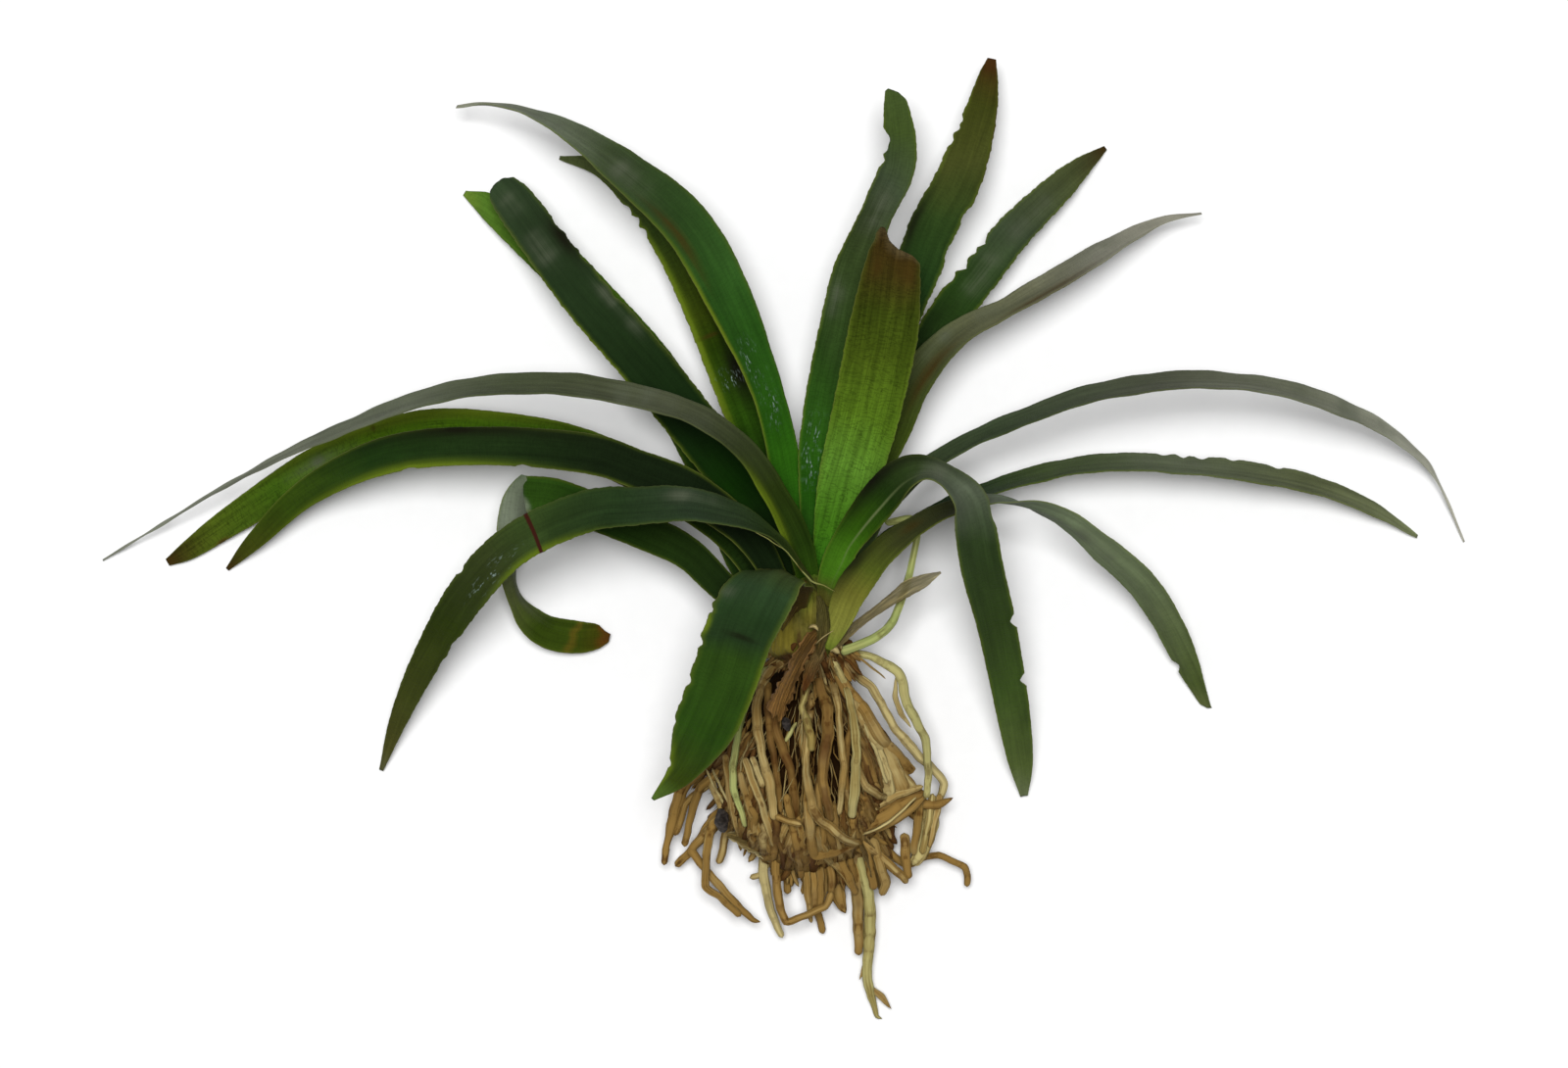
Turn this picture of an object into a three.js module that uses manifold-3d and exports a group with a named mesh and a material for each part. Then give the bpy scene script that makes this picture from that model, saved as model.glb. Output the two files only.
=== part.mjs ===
// A bare-rooted sagittaria, a strap-leaved aquarium plant, lifted from its pot and laid on a table.
// It lies with its growing axis along +Y. Nineteen leaves rise from a short swollen crown and arch over
// to the table on both sides. Below the crown a bundle of cream roots hangs over a brown mat of finer ones.
import * as THREE from "three";
import Module from "manifold-3d";

const wasm = await Module();
wasm.setup();

// Driving dimensions, in millimetres
const EYE_HEIGHT = 1000; // places are read from a point this far above the table
const EYE_Y = 1; // where that point stands along the plant
const READING_HEIGHT = 20; // the height of the plane that the places are read on
const JOINT_GAP = 0.3; // free space left where two pieces meet
const LEAF_MIDRIB = 1.0; // leaf thickness at the midrib
const LEAF_MARGIN = 0.5; // leaf thickness at the margin
const LEAF_TIP_WIDTH = 0.5; // no leaf is narrower than this
const LEAF_ROW_STEP = 7; // from one cross-section of a leaf to the next
const FOLD_ROW_STEP = 4; // the same where a leaf folds or twists
const ROOT_SIDES = 6;
const ROOT_ROW_STEP = 5; // from one cross-section of a root to the next
const ROOT_LAYER = 2.7; // each root that lies over others is raised by this much

const CROWN = { x: 5.6, y: -17, z: 20, halfWidth: 7.6, halfLength: 11, halfDepth: 8 };
const MAT = { x: 4, y: -46, halfWidth: 19, halfLength: 22, height: 24, rim: 3, lump: 0.8 };

const colours = {
  deepGreen: new THREE.MeshStandardMaterial({ color: 0x2c4a1e, roughness: 0.35, metalness: 0 }),
  greyGreen: new THREE.MeshStandardMaterial({ color: 0x4d5a45, roughness: 0.4, metalness: 0 }),
  brightGreen: new THREE.MeshStandardMaterial({ color: 0x5c8a1f, roughness: 0.35, metalness: 0 }),
  crown: new THREE.MeshStandardMaterial({ color: 0xa89a4a, roughness: 0.6, metalness: 0 }),
  root: new THREE.MeshStandardMaterial({ color: 0xb08a52, roughness: 0.65, metalness: 0 }),
  paleRoot: new THREE.MeshStandardMaterial({ color: 0xc9cf8e, roughness: 0.5, metalness: 0 }),
  mat: new THREE.MeshStandardMaterial({ color: 0x5a3d24, roughness: 0.9, metalness: 0 }),
  bract: new THREE.MeshStandardMaterial({ color: 0xa8925c, roughness: 0.6, metalness: 0 }),
  grit: new THREE.MeshStandardMaterial({ color: 0x1d1a18, roughness: 0.8, metalness: 0 }),
};

const plant = new THREE.Group();
plant.name = "sagittaria";

function addPiece(name, geometry, material) {
  const mesh = new THREE.Mesh(geometry, material);
  mesh.name = name;
  plant.add(mesh);
  return mesh;
}

// A place read on the reading plane, moved along the line of sight to its own height.
function sighted(x, y, z) {
  const closer = (EYE_HEIGHT - z) / (EYE_HEIGHT - READING_HEIGHT);
  return new THREE.Vector3(x * closer, EYE_Y + (y - EYE_Y) * closer, z);
}

function smoothLine(points) {
  return new THREE.CatmullRomCurve3(points, false, "catmullrom", 0.5);
}

// Rings of points joined into one closed body. A ring runs out along one face and back along the other,
// so its cap is a strip of quads between point i and the point opposite it.
function closedLoft(rings) {
  const size = rings[0].length;
  const positions = rings.flat().flatMap((p) => [p.x, p.y, p.z]);
  const faces = [];
  for (let row = 0; row < rings.length - 1; row++) {
    for (let i = 0; i < size; i++) {
      const a = row * size + i;
      const b = row * size + ((i + 1) % size);
      faces.push(a, b, b + size, a, b + size, a + size);
    }
  }
  const last = (rings.length - 1) * size;
  for (let i = 0; i < size / 2 - 1; i++) {
    const far = size - 1 - i;
    faces.push(i, far, far - 1, i, far - 1, i + 1);
    faces.push(last + i, last + i + 1, last + far - 1, last + i, last + far - 1, last + far);
  }
  const geometry = new THREE.BufferGeometry();
  geometry.setAttribute("position", new THREE.Float32BufferAttribute(positions, 3));
  geometry.setIndex(faces);
  return geometry;
}

function solidOf(geometry) {
  const make = (triVerts) =>
    new wasm.Manifold(
      new wasm.Mesh({
        numProp: 3,
        vertProperties: new Float32Array(geometry.attributes.position.array),
        triVerts,
      }),
    );
  const faces = new Uint32Array(geometry.index.array);
  const solid = make(faces);
  if (solid.volume() > 0) return solid;
  for (let i = 0; i < faces.length; i += 3) [faces[i + 1], faces[i + 2]] = [faces[i + 2], faces[i + 1]];
  return make(faces);
}

// The largest body of a solid, as a geometry: a cut can leave crumbs beside it.
function geometryOf(solid) {
  const largest = solid.decompose().reduce((a, b) => (a.volume() > b.volume() ? a : b));
  const mesh = largest.getMesh();
  const geometry = new THREE.BufferGeometry();
  const corners = [];
  for (let i = 0; i < mesh.numVert; i++) {
    corners.push(...mesh.vertProperties.subarray(i * mesh.numProp, i * mesh.numProp + 3));
  }
  geometry.setAttribute("position", new THREE.Float32BufferAttribute(corners, 3));
  geometry.setIndex(new THREE.Uint32BufferAttribute(mesh.triVerts, 1));
  return geometry;
}

// The crown: a short swollen stem, an ellipsoid with its length along the plant.
function crownSolid(grow) {
  const ring = [];
  const stacks = 9;
  const sides = 16;
  for (let i = 0; i <= stacks; i++) {
    const polar = (Math.PI * (i + 0.35)) / (stacks + 0.7);
    const points = [];
    for (let k = 0; k < sides; k++) {
      const turn = (2 * Math.PI * k) / sides;
      points.push(
        new THREE.Vector3(
          CROWN.x + (CROWN.halfWidth + grow) * Math.sin(polar) * Math.cos(turn),
          CROWN.y + (CROWN.halfLength + grow) * Math.cos(polar),
          CROWN.z + (CROWN.halfDepth + grow) * Math.sin(polar) * Math.sin(turn),
        ),
      );
    }
    ring.push(points);
  }
  return solidOf(closedLoft(ring));
}

const crown = crownSolid(0);
const crownCutter = crownSolid(JOINT_GAP);
addPiece("crown", geometryOf(crown), colours.crown);

// Leaves. Each is a strap carried along a line of stations, and each station is
// [x, y, height above the table, full width, roll in degrees]. Roll is 0 where the blade lies flat,
// and positive where its left side, looking towards the tip, is raised.
// cup is how far a margin stands above the midrib, as a share of the half width.
function leafGeometry(stations, cup, rowStep) {
  const route = smoothLine(stations.map(([x, y, z]) => sighted(x, y, z)));
  const form = smoothLine(stations.map(([, , , width, roll]) => new THREE.Vector3(width, roll, 0)));
  const rows = Math.round(route.getLength() / rowStep);
  const up = new THREE.Vector3(0, 0, 1);
  const rings = [];
  for (let row = 0; row <= rows; row++) {
    const t = route.getUtoTmapping(row / rows);
    const middle = route.getPoint(t);
    const { x: width, y: roll } = form.getPoint(t);
    const along = route.getTangent(t);
    const side = new THREE.Vector3().crossVectors(up, along).normalize();
    const face = new THREE.Vector3().crossVectors(along, side);
    const turn = THREE.MathUtils.degToRad(roll);
    const across = side.clone().multiplyScalar(Math.cos(turn)).addScaledVector(face, Math.sin(turn));
    const normal = new THREE.Vector3().crossVectors(along, across);
    const half = Math.max(width, LEAF_TIP_WIDTH) / 2;
    const point = (s, lift) =>
      middle
        .clone()
        .addScaledVector(across, s * half)
        .addScaledVector(normal, Math.abs(s) * cup * half + lift);
    const midrib = Math.min(LEAF_MIDRIB, LEAF_MARGIN + 0.12 * half) / 2;
    const margin = LEAF_MARGIN / 2;
    rings.push([
      point(-1, margin),
      point(0, midrib),
      point(1, margin),
      point(1, -margin),
      point(0, -midrib),
      point(-1, -margin),
    ]);
  }
  return closedLoft(rings);
}

function addLeaf(name, material, cup, stations, rowStep = LEAF_ROW_STEP) {
  const blade = solidOf(leafGeometry(stations, cup, rowStep)).subtract(crownCutter);
  addPiece(name, geometryOf(blade), material);
}

// The upright leaves in the middle of the rosette, from the front to the back
addLeaf("leaf_centre_short", colours.brightGreen, 0.15, [
  [8.6, -8.4, 18.6, 5, 0],
  [10.2, 0.4, 20, 8.5, 0],
  [12.8, 11, 23, 12, 0],
  [15.4, 20.4, 26, 13.4, 0],
  [17.8, 30.4, 29, 14, 0],
  [20.2, 42, 32, 14.2, 0],
  [21.6, 51.6, 33, 12.4, 0],
  [22.4, 57.6, 33, 10.5, 0],
  [22.8, 60.4, 32.5, 8.6, 0],
]);
addLeaf("leaf_tall_left", colours.deepGreen, 0.2, [
  [6, -8.5, 16.6, 4, 10],
  [6, 14, 18, 6.5, 10],
  [7.2, 24, 19, 7.4, 8],
  [9.2, 34, 20, 8, 5],
  [11.6, 44, 21, 8.6, 5],
  [13.8, 54, 22, 8.4, 10],
  [16.8, 62, 24, 7.6, 20],
  [19.4, 68, 26, 7.4, 25],
  [22.8, 75, 27, 7.4, 10],
  [23.6, 81, 26, 6.8, 0],
  [23, 87, 24, 5.4, 0],
  [22.4, 91.4, 22, 3.6, 0],
]);
addLeaf("leaf_tall_right", colours.deepGreen, 0.15, [
  [10, -9.5, 14.8, 4, 0],
  [13.6, 14, 13, 7, 0],
  [18.6, 30, 13, 8.4, 0],
  [23.6, 46, 15, 9, 0],
  [27.6, 56, 16, 9.6, 0],
  [30.6, 64, 17, 9.8, 0],
  [35, 72, 17, 9.6, 0],
  [38, 80, 16, 8.6, 0],
  [40.4, 88, 14, 6.4, 0],
  [41.6, 94, 12, 4.2, 0],
  [42.4, 98, 11, 1.8, 0],
]);
addLeaf("leaf_upper_right", colours.deepGreen, 0.15, [
  [9.6, -12.5, 13, 4, 0],
  [17, 12, 9, 6.5, 0],
  [23, 26, 8, 8, 0],
  [29, 38, 8.5, 8.4, 0],
  [34.8, 47.4, 9, 8.4, 0],
  [40.8, 55, 9, 8, 0],
  [47, 62.8, 8, 7.6, 0],
  [56, 71.6, 5, 6.2, 0],
  [61, 76.2, 3, 4, 0],
  [65.6, 79.8, 0.8, 1, 0],
]);
addLeaf("leaf_right_grey", colours.greyGreen, 0.2, [
  [12.2, -11, 16.6, 4, -20],
  [18, 12, 15.8, 7, -20],
  [22.4, 22, 16, 8, -25],
  [26.4, 31, 17, 8.5, -32],
  [31.4, 37.6, 18, 8.5, -40],
  [37.6, 42.8, 18, 8, -50],
  [46, 47, 17, 7.5, -55],
  [56, 52.8, 15, 7, -48],
  [64, 57.8, 13, 6, -45],
  [72, 62.4, 10, 4, -45],
  [78, 65.2, 8, 2.2, -45],
  [85.2, 66.4, 6, 0.6, -40],
]);

// The leaves that arch out to the right
addLeaf("leaf_right_arch", colours.deepGreen, 0.3, [
  [9, -9.4, 26, 4.6, -5],
  [10.8, -5, 23.8, 6.2, -6],
  [13.1, -0.4, 24, 6.2, -8],
  [18.5, 6.6, 32.6, 7.9, -14],
  [24.2, 12.2, 42.4, 8.2, -22],
  [30, 13.4, 46, 8, -55],
  [35, 10.2, 46, 8.4, -45],
  [38.1, 5, 43, 8.6, -15],
  [40.4, -6, 36, 8.6, 0],
  [43.2, -17, 28, 8, 0],
  [45.4, -28, 19, 7.4, 0],
  [46.8, -36, 13, 6.8, 0],
  [48.2, -45, 6, 5.2, 0],
  [49, -52.4, 1, 1.6, 0],
]);
addLeaf("leaf_right_long", colours.greyGreen, 0.2, [
  [12.4, -12.8, 19.4, 5, -40],
  [18, 3, 21, 6.5, -45],
  [25, 10.6, 21.6, 7, -58],
  [31, 15.6, 22, 7.4, -63],
  [40, 20.5, 24, 7.4, -63],
  [52, 25.5, 26, 7.4, -61],
  [64, 29.4, 27, 7.6, -60],
  [80, 31.8, 27, 8, -60],
  [96, 31.2, 24, 7.5, -61],
  [108, 28.4, 20, 7, -55],
  [120, 23.6, 14, 5, -50],
  [129, 17.2, 7, 3, -50],
  [133.2, 12, 4, 1.2, -45],
  [138.8, -0.6, 0.4, 0.5, -40],
]);
addLeaf("leaf_right_low_long", colours.deepGreen, 0.2, [
  [11.4, -16.4, 17.4, 5, -35],
  [19.4, -2.8, 13, 6, -45],
  [28, 3, 12, 6.5, -55],
  [35, 7.2, 12, 7, -63],
  [41, 9.4, 12.5, 7, -65],
  [50, 12.3, 14, 6.9, -60],
  [60, 14.5, 15, 6.9, -58],
  [72, 15.2, 15, 7, -56],
  [84, 14.4, 14, 7.2, -56],
  [96, 13, 12, 7.5, -54],
  [108, 10.6, 8, 6.5, -52],
  [120, 6, 3.6, 4.5, -48],
  [129.2, 0.4, 0.6, 0.8, -40],
]);
addLeaf("leaf_right_drooping", colours.deepGreen, 0.2, [
  [9.2, -21.4, 28, 3, -14],
  [11.6, -16, 28.8, 5.8, -22],
  [14.4, -10, 28.8, 7.4, -26],
  [20.6, -2.6, 28, 7.4, -42],
  [28, 2.8, 27.6, 7, -55],
  [35, 6, 27.2, 6.8, -63],
  [42, 7.6, 26.5, 7.2, -71],
  [46, 7.4, 26, 7, -82],
  [52, 6, 25.5, 7, -110],
  [58.4, 3, 24, 7, -123],
  [66, -3.2, 20, 7.2, -139],
  [73, -9.6, 15, 7, -149],
  [78, -17, 9.5, 6.6, -152],
  [81.6, -24.4, 5, 5.6, -156],
  [84.8, -31.2, 1.8, 3, -165],
  [86.4, -34.4, 0.8, 1.6, -175],
]);

// The leaves that arch out to the left
addLeaf("leaf_left_long", colours.greyGreen, 0.2, [
  [5, -8.6, 22.8, 4.6, 15],
  [3, -1.2, 26, 6, 25],
  [-2.2, 9, 30, 7, 42],
  [-8.8, 18.4, 33, 7.4, 51],
  [-20.2, 25.8, 36, 7.6, 52],
  [-36, 29.8, 37, 7.8, 51],
  [-50, 31.3, 36, 7.7, 53],
  [-70, 29.3, 31, 6.8, 55],
  [-92, 21.4, 21, 4.4, 53],
  [-112, 11.8, 11, 1.6, 50],
  [-139, -4.4, 0.4, 0.5, 40],
]);
addLeaf("leaf_left_arch", colours.deepGreen, 0.2, [
  [6.4, -10, 28.4, 2.4, 75],
  [4, -6.6, 31, 3, 72],
  [-1, -0.6, 33.6, 4.6, 70],
  [-6.6, 3.2, 34.8, 6.4, 56],
  [-12, 5.2, 35.4, 7.4, 42],
  [-20, 6.8, 36.5, 8, 30],
  [-30, 6.4, 37.5, 8.6, 25],
  [-40, 5.4, 37, 9, 20],
  [-54.5, -1, 33, 8.6, 10],
  [-64.6, -11.2, 26, 8.2, 0],
  [-73.3, -25.4, 15, 6, 0],
  [-78.6, -36.8, 7, 3.8, 0],
  [-82.2, -47.2, 1, 0.9, 0],
]);
addLeaf("leaf_left_pair_front", colours.deepGreen, 0.25, [
  [0.6, -13, 21.6, 5, 25],
  [-7, 0, 22.5, 7, 25],
  [-19, 9.4, 25, 8.5, 20],
  [-30, 14, 26, 8.2, 15],
  [-40, 17.2, 26, 8.4, 12],
  [-60, 18.8, 24, 8, 10],
  [-80, 17.2, 19, 7.8, 8],
  [-96.4, 10, 10.6, 6, 5],
  [-107.6, 0, 4.4, 3.8, 0],
  [-113.6, -6.2, 0.7, 0.8, 0],
]);
addLeaf("leaf_left_pair_back", colours.brightGreen, 0.2, [
  [-0.8, -17, 18.2, 5, 20],
  [-9, -2, 17, 6.5, 20],
  [-22, 8.6, 18, 7.2, 15],
  [-40, 18, 18.5, 8.2, 10],
  [-60, 21.8, 17, 8.6, 8],
  [-76, 21.4, 12, 9, 8],
  [-94, 15.2, 6.4, 8.4, 5],
  [-112, 4.2, 2, 6.2, 0],
  [-121, -2, 1.2, 4.2, 0],
  [-125.8, -4.8, 0.8, 1.6, 0],
]);
addLeaf("leaf_left_hooked", colours.deepGreen, 0.15, [
  [-0.6, -21, 22.6, 5, 20],
  [-12.6, -9.8, 19.6, 6.2, 12],
  [-19.8, -2.9, 18.5, 6.9, 10],
  [-28, 1.2, 19, 7.6, 10],
  [-38, 5.2, 20, 7.8, 15],
  [-46.6, 9.2, 20, 8, 45],
  [-52, 11.6, 19, 7.6, 88],
  [-54.6, 7.4, 16, 7.2, 128],
  [-55.2, 0.4, 12, 7, 140],
  [-54.8, -6.6, 8.5, 7, 130],
  [-53.4, -12.4, 6, 7, 118],
  [-50.4, -17, 4.5, 7.2, 142],
  [-46, -19.4, 3.5, 7.4, 165],
  [-40, -19.6, 2.6, 6.4, 175],
  [-35.6, -19.4, 2, 2.6, 180],
], FOLD_ROW_STEP);

// The leaves that fan out at the upper left
addLeaf("leaf_upper_left_front", colours.deepGreen, 0.12, [
  [0.6, -12.6, 19, 4.6, 30],
  [-3.6, 4, 19.4, 8, 20],
  [-12, 15, 20, 10, 10],
  [-20, 25.2, 20.5, 10.5, 5],
  [-28, 35.2, 20, 10.4, 0],
  [-40, 49, 18, 10.2, 0],
  [-49.8, 61.6, 14, 9.2, 0],
  [-55, 68.6, 11, 8.4, 0],
  [-58, 72, 9, 6.4, 0],
]);
addLeaf("leaf_upper_left_back", colours.brightGreen, 0.12, [
  [-0.2, -17, 14.8, 5, 10],
  [-8, -5, 12, 7, 0],
  [-12.6, 8.4, 11, 8.6, 0],
  [-17.8, 20.4, 10, 9.4, 0],
  [-28, 34, 9, 9.8, 0],
  [-39.4, 46.8, 7.5, 9.8, 0],
  [-50.6, 58.8, 5, 9, 0],
  [-59.4, 67.4, 2.5, 6, 0],
  [-65.2, 70.6, 0.7, 1.2, 0],
]);
addLeaf("leaf_top_left_broad", colours.deepGreen, 0.2, [
  [2.4, -10, 15.2, 4.6, 5],
  [1, 10, 15.6, 6.4, 10],
  [-3.7, 30, 19.5, 7.6, 30],
  [-11.9, 49.8, 23, 10.1, 16],
  [-19.9, 63.7, 24, 10.5, 15],
  [-31.6, 74.1, 23, 10, 33],
  [-43.5, 82.6, 20, 8, 53],
  [-52, 86.8, 16, 5.4, 66],
  [-60, 88.6, 12, 2.6, 75],
  [-66.8, 88.2, 8, 1, 40],
]);
addLeaf("leaf_top_left_under", colours.deepGreen, 0.15, [
  [4, -12.5, 13.4, 4.5, 0],
  [-1, 8, 12, 8, 5],
  [-8.8, 29, 11.5, 9.6, 5],
  [-15.6, 46, 10.5, 9.2, 5],
  [-22, 59, 9, 8.2, 5],
  [-29, 69, 6.5, 7.2, 0],
  [-37, 75.6, 3.5, 4.2, 0],
  [-45.8, 77.8, 0.8, 0.8, 0],
]);

// The broad leaf that folds over towards the front and hangs down across the roots
addLeaf("leaf_front_flap", colours.deepGreen, 0.12, [
  [2.6, -14.6, 27.6, 4, 180],
  [2.6, -10.8, 32.4, 6, 170],
  [1.8, -8.4, 37, 9.6, 130],
  [-0.9, -6.6, 41.4, 13.6, 80],
  [-4.2, -9, 44.5, 15, 30],
  [-8.8, -18, 48.5, 14.2, 0],
  [-12.8, -30, 48, 13.4, 0],
  [-16.8, -39.4, 45, 12.2, 0],
  [-21.2, -47.8, 40, 6, 0],
  [-26.8, -53.2, 36, 0.8, 0],
], FOLD_ROW_STEP);

// The mat of fine roots and old soil, a lumpy dome pressed flat by the table
function matHeight(x, y) {
  const across = Math.abs(x - MAT.x) / MAT.halfWidth;
  const along = Math.abs(y - MAT.y) / MAT.halfLength;
  const reach = Math.hypot(across, along);
  if (reach >= 1) return 0;
  const dome = MAT.height * Math.sqrt(1 - reach ** 3);
  return Math.max(MAT.rim, dome + MAT.lump * Math.sin(0.9 * x) * Math.cos(0.7 * y));
}

function matSolid(grow) {
  const slices = 13;
  const columns = 12;
  const rings = [];
  for (let i = 0; i <= slices; i++) {
    const v = -0.97 + (1.94 * i) / slices;
    const y = MAT.y + v * (MAT.halfLength + grow);
    const halfWidth = (MAT.halfWidth + grow) * Math.sqrt(1 - v * v);
    const top = [];
    const bottom = [];
    for (let k = 0; k <= columns; k++) {
      const u = -Math.cos((Math.PI * k) / columns);
      const x = MAT.x + u * halfWidth;
      const inX = MAT.x + ((x - MAT.x) * MAT.halfWidth) / (MAT.halfWidth + grow);
      const inY = MAT.y + ((y - MAT.y) * MAT.halfLength) / (MAT.halfLength + grow);
      top.push(new THREE.Vector3(x, y, Math.max(MAT.rim, matHeight(inX * 0.999, inY)) + grow));
      bottom.push(new THREE.Vector3(x, y, 0));
    }
    rings.push([...top, ...bottom.reverse()]);
  }
  return solidOf(closedLoft(rings));
}

const matCutter = matSolid(JOINT_GAP);
addPiece("root_mat", geometryOf(matSolid(0).subtract(crownCutter)), colours.mat);

// A root: a tapering tube along stations [x, y, height above the table, radius].
function rootSolid(stations, heightAt) {
  const route = smoothLine(stations.map(([x, y, z]) => new THREE.Vector3(x, y, z)));
  const form = smoothLine(stations.map(([, , , radius]) => new THREE.Vector3(radius, 0, 0)));
  const rows = Math.max(3, Math.round(route.getLength() / ROOT_ROW_STEP));
  const { normals, binormals } = route.computeFrenetFrames(rows, false);
  const rings = [];
  for (let row = 0; row <= rows; row++) {
    const t = route.getUtoTmapping(row / rows);
    const at = route.getPoint(t);
    const radius = form.getPoint(t).x;
    const middle = sighted(at.x, at.y, heightAt(at, radius));
    const ring = [];
    for (let k = 0; k < ROOT_SIDES; k++) {
      const turn = (2 * Math.PI * k) / ROOT_SIDES;
      ring.push(
        middle
          .clone()
          .addScaledVector(normals[row], radius * Math.cos(turn))
          .addScaledVector(binormals[row], radius * Math.sin(turn)),
      );
    }
    rings.push(ring);
  }
  return solidOf(closedLoft(rings));
}

// A root that leaves the crown and lies over the mat, on layer 0, 1 or 2.
function addRootOverMat(name, layer, stations, material = colours.root) {
  const lift = (radius) => radius + 1 + layer * ROOT_LAYER;
  const over = (at, radius) => Math.max(at.z, matHeight(at.x, at.y) + lift(radius));
  addPiece(name, geometryOf(rootSolid(stations, over).subtract(crownCutter)), material);
}

// A root whose upper end is buried in the mat.
function addRootFromMat(name, stations, material = colours.root) {
  addPiece(name, geometryOf(rootSolid(stations, (at) => at.z).subtract(matCutter)), material);
}

// Roots that run down over the mat, from the left to the right
addRootOverMat("root_main_left", 1, [
  [2, -24, 22.6, 1.2],
  [-3, -28, 18, 1.2],
  [-5.4, -35, 14, 1.1],
  [-5, -42, 14, 1.1],
  [-3.6, -48, 14, 1.2],
  [-1, -57.6, 14, 1.2],
]);
addRootOverMat("root_pale_left", 1, [
  [0, -22, 18, 0.9],
  [-7, -31, 14, 0.8],
  [-10, -41, 12, 0.8],
  [-10.2, -47, 12, 0.75],
  [-9.2, -54, 12, 0.7],
  [-7.6, -59.4, 12, 0.6],
], colours.paleRoot);
addRootOverMat("root_sheath", 0, [
  [4, -25, 19.6, 1.3],
  [0, -31, 18, 1.4],
  [-2.2, -37, 18, 1.2],
  [-0.6, -44, 18, 1.2],
  [1.8, -51, 18, 1.2],
  [2.6, -60, 16, 1.1],
]);
addRootOverMat("root_inner_pale", 0, [
  [6.4, -25, 19.6, 0.8],
  [5.2, -31, 18, 0.8],
  [5, -36, 18, 0.8],
  [6.4, -41.6, 18, 0.6],
], colours.paleRoot);
addRootOverMat("root_front_long", 2, [
  [6.8, -24.6, 25.4, 1],
  [4.8, -38, 22, 1],
  [5.4, -49, 22, 1.2],
  [7, -54.4, 21.4, 1.2],
  [11, -59, 19.6, 1.1],
  [17.6, -61.4, 17.4, 1],
]);
addRootOverMat("root_elbow", 1, [
  [5, -25, 22.6, 1.1],
  [2.8, -38, 20, 1.1],
  [4, -50, 18, 1.2],
  [4.8, -60, 16, 1.2],
  [7, -64.8, 14, 1.3],
  [11, -65, 13, 1.2],
  [15.2, -63.4, 13, 1],
]);
addRootOverMat("root_right_1", 1, [
  [8, -25, 22.6, 1.1],
  [9, -34, 20, 1.1],
  [9.2, -42, 20, 1.1],
  [10.4, -50, 20, 1.1],
  [12, -56.6, 15.4, 0.9],
]);
addRootOverMat("root_right_2", 0, [
  [9.4, -24.6, 19.6, 1],
  [11.2, -32, 18, 1],
  [11.6, -40, 18, 0.9],
  [12.4, -48, 18, 0.9],
  [13, -55.6, 16, 0.8],
]);
addRootOverMat("root_right_pale", 1, [
  [9.4, -23.6, 23, 1],
  [13, -33, 20, 1],
  [14.4, -42, 18, 1.1],
  [14.6, -50, 18, 1.2],
  [14, -57, 16, 1],
], colours.paleRoot);
addRootOverMat("root_diagonal", 1, [
  [10.2, -22.8, 20, 1.1],
  [15.8, -32, 20.8, 1.2],
  [19, -38.6, 19.4, 1.2],
  [23, -44.6, 16, 1.1],
  [26.4, -47.8, 13, 1],
]);
addRootOverMat("root_under_skin", 0, [
  [11.2, -24.6, 15.4, 1],
  [15.6, -38, 20.4, 1],
  [20, -48, 16.4, 1],
  [26.4, -53.6, 12.4, 0.9],
]);
addRootOverMat("root_outer_right", 0, [
  [11, -22.4, 17.4, 1],
  [18.6, -29.6, 15, 0.9],
  [22.4, -36.6, 13, 1],
  [27, -43, 10, 0.9],
  [32, -48.6, 8, 0.9],
  [32, -54, 7, 0.7],
]);
addRootOverMat("root_outer_pale", 2, [
  [11.2, -22, 19.4, 0.9],
  [19.6, -24.6, 19, 1],
  [22.8, -28, 19, 1.2],
  [24, -33, 18, 1.2],
  [27, -39, 16, 1.1],
  [28.6, -46, 14, 1],
  [28.8, -53, 13, 0.9],
], colours.paleRoot);

// Roots that come out of the mat on its left
addRootFromMat("root_left_outer", [
  [-12, -43, 9, 1.3],
  [-19, -50, 9.5, 1.3],
  [-22.4, -58, 8, 1.1],
  [-24.6, -66.4, 6, 0.8],
]);
addRootFromMat("root_left_inner", [
  [-11, -46, 13, 0.9],
  [-16, -51, 13, 0.9],
  [-18.4, -57, 11, 0.8],
  [-20.4, -62.4, 9, 0.7],
]);
addRootFromMat("root_left_low", [
  [-9, -53, 5, 1],
  [-15.6, -59, 5.5, 1],
  [-19.4, -63, 5, 0.9],
  [-22.4, -66.8, 4, 0.8],
]);
addRootFromMat("root_left_bent", [
  [-9, -52, 8.6, 0.9],
  [-14, -58, 8.4, 0.9],
  [-18.6, -63, 7.6, 0.9],
  [-13, -71, 8, 0.9],
  [-5, -78, 6, 0.5],
]);
addRootFromMat("root_left_kinked", [
  [-9, -57, 11.8, 1],
  [-14.6, -61, 11.6, 1.1],
  [-15.8, -66, 11, 1],
  [-16, -71.4, 10.5, 1],
  [-8.6, -76.8, 9, 0.9],
]);
addRootFromMat("root_left_short", [
  [-7, -55, 6, 0.9],
  [-11, -62, 6, 0.9],
  [-13.6, -66.6, 5, 0.7],
]);

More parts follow.
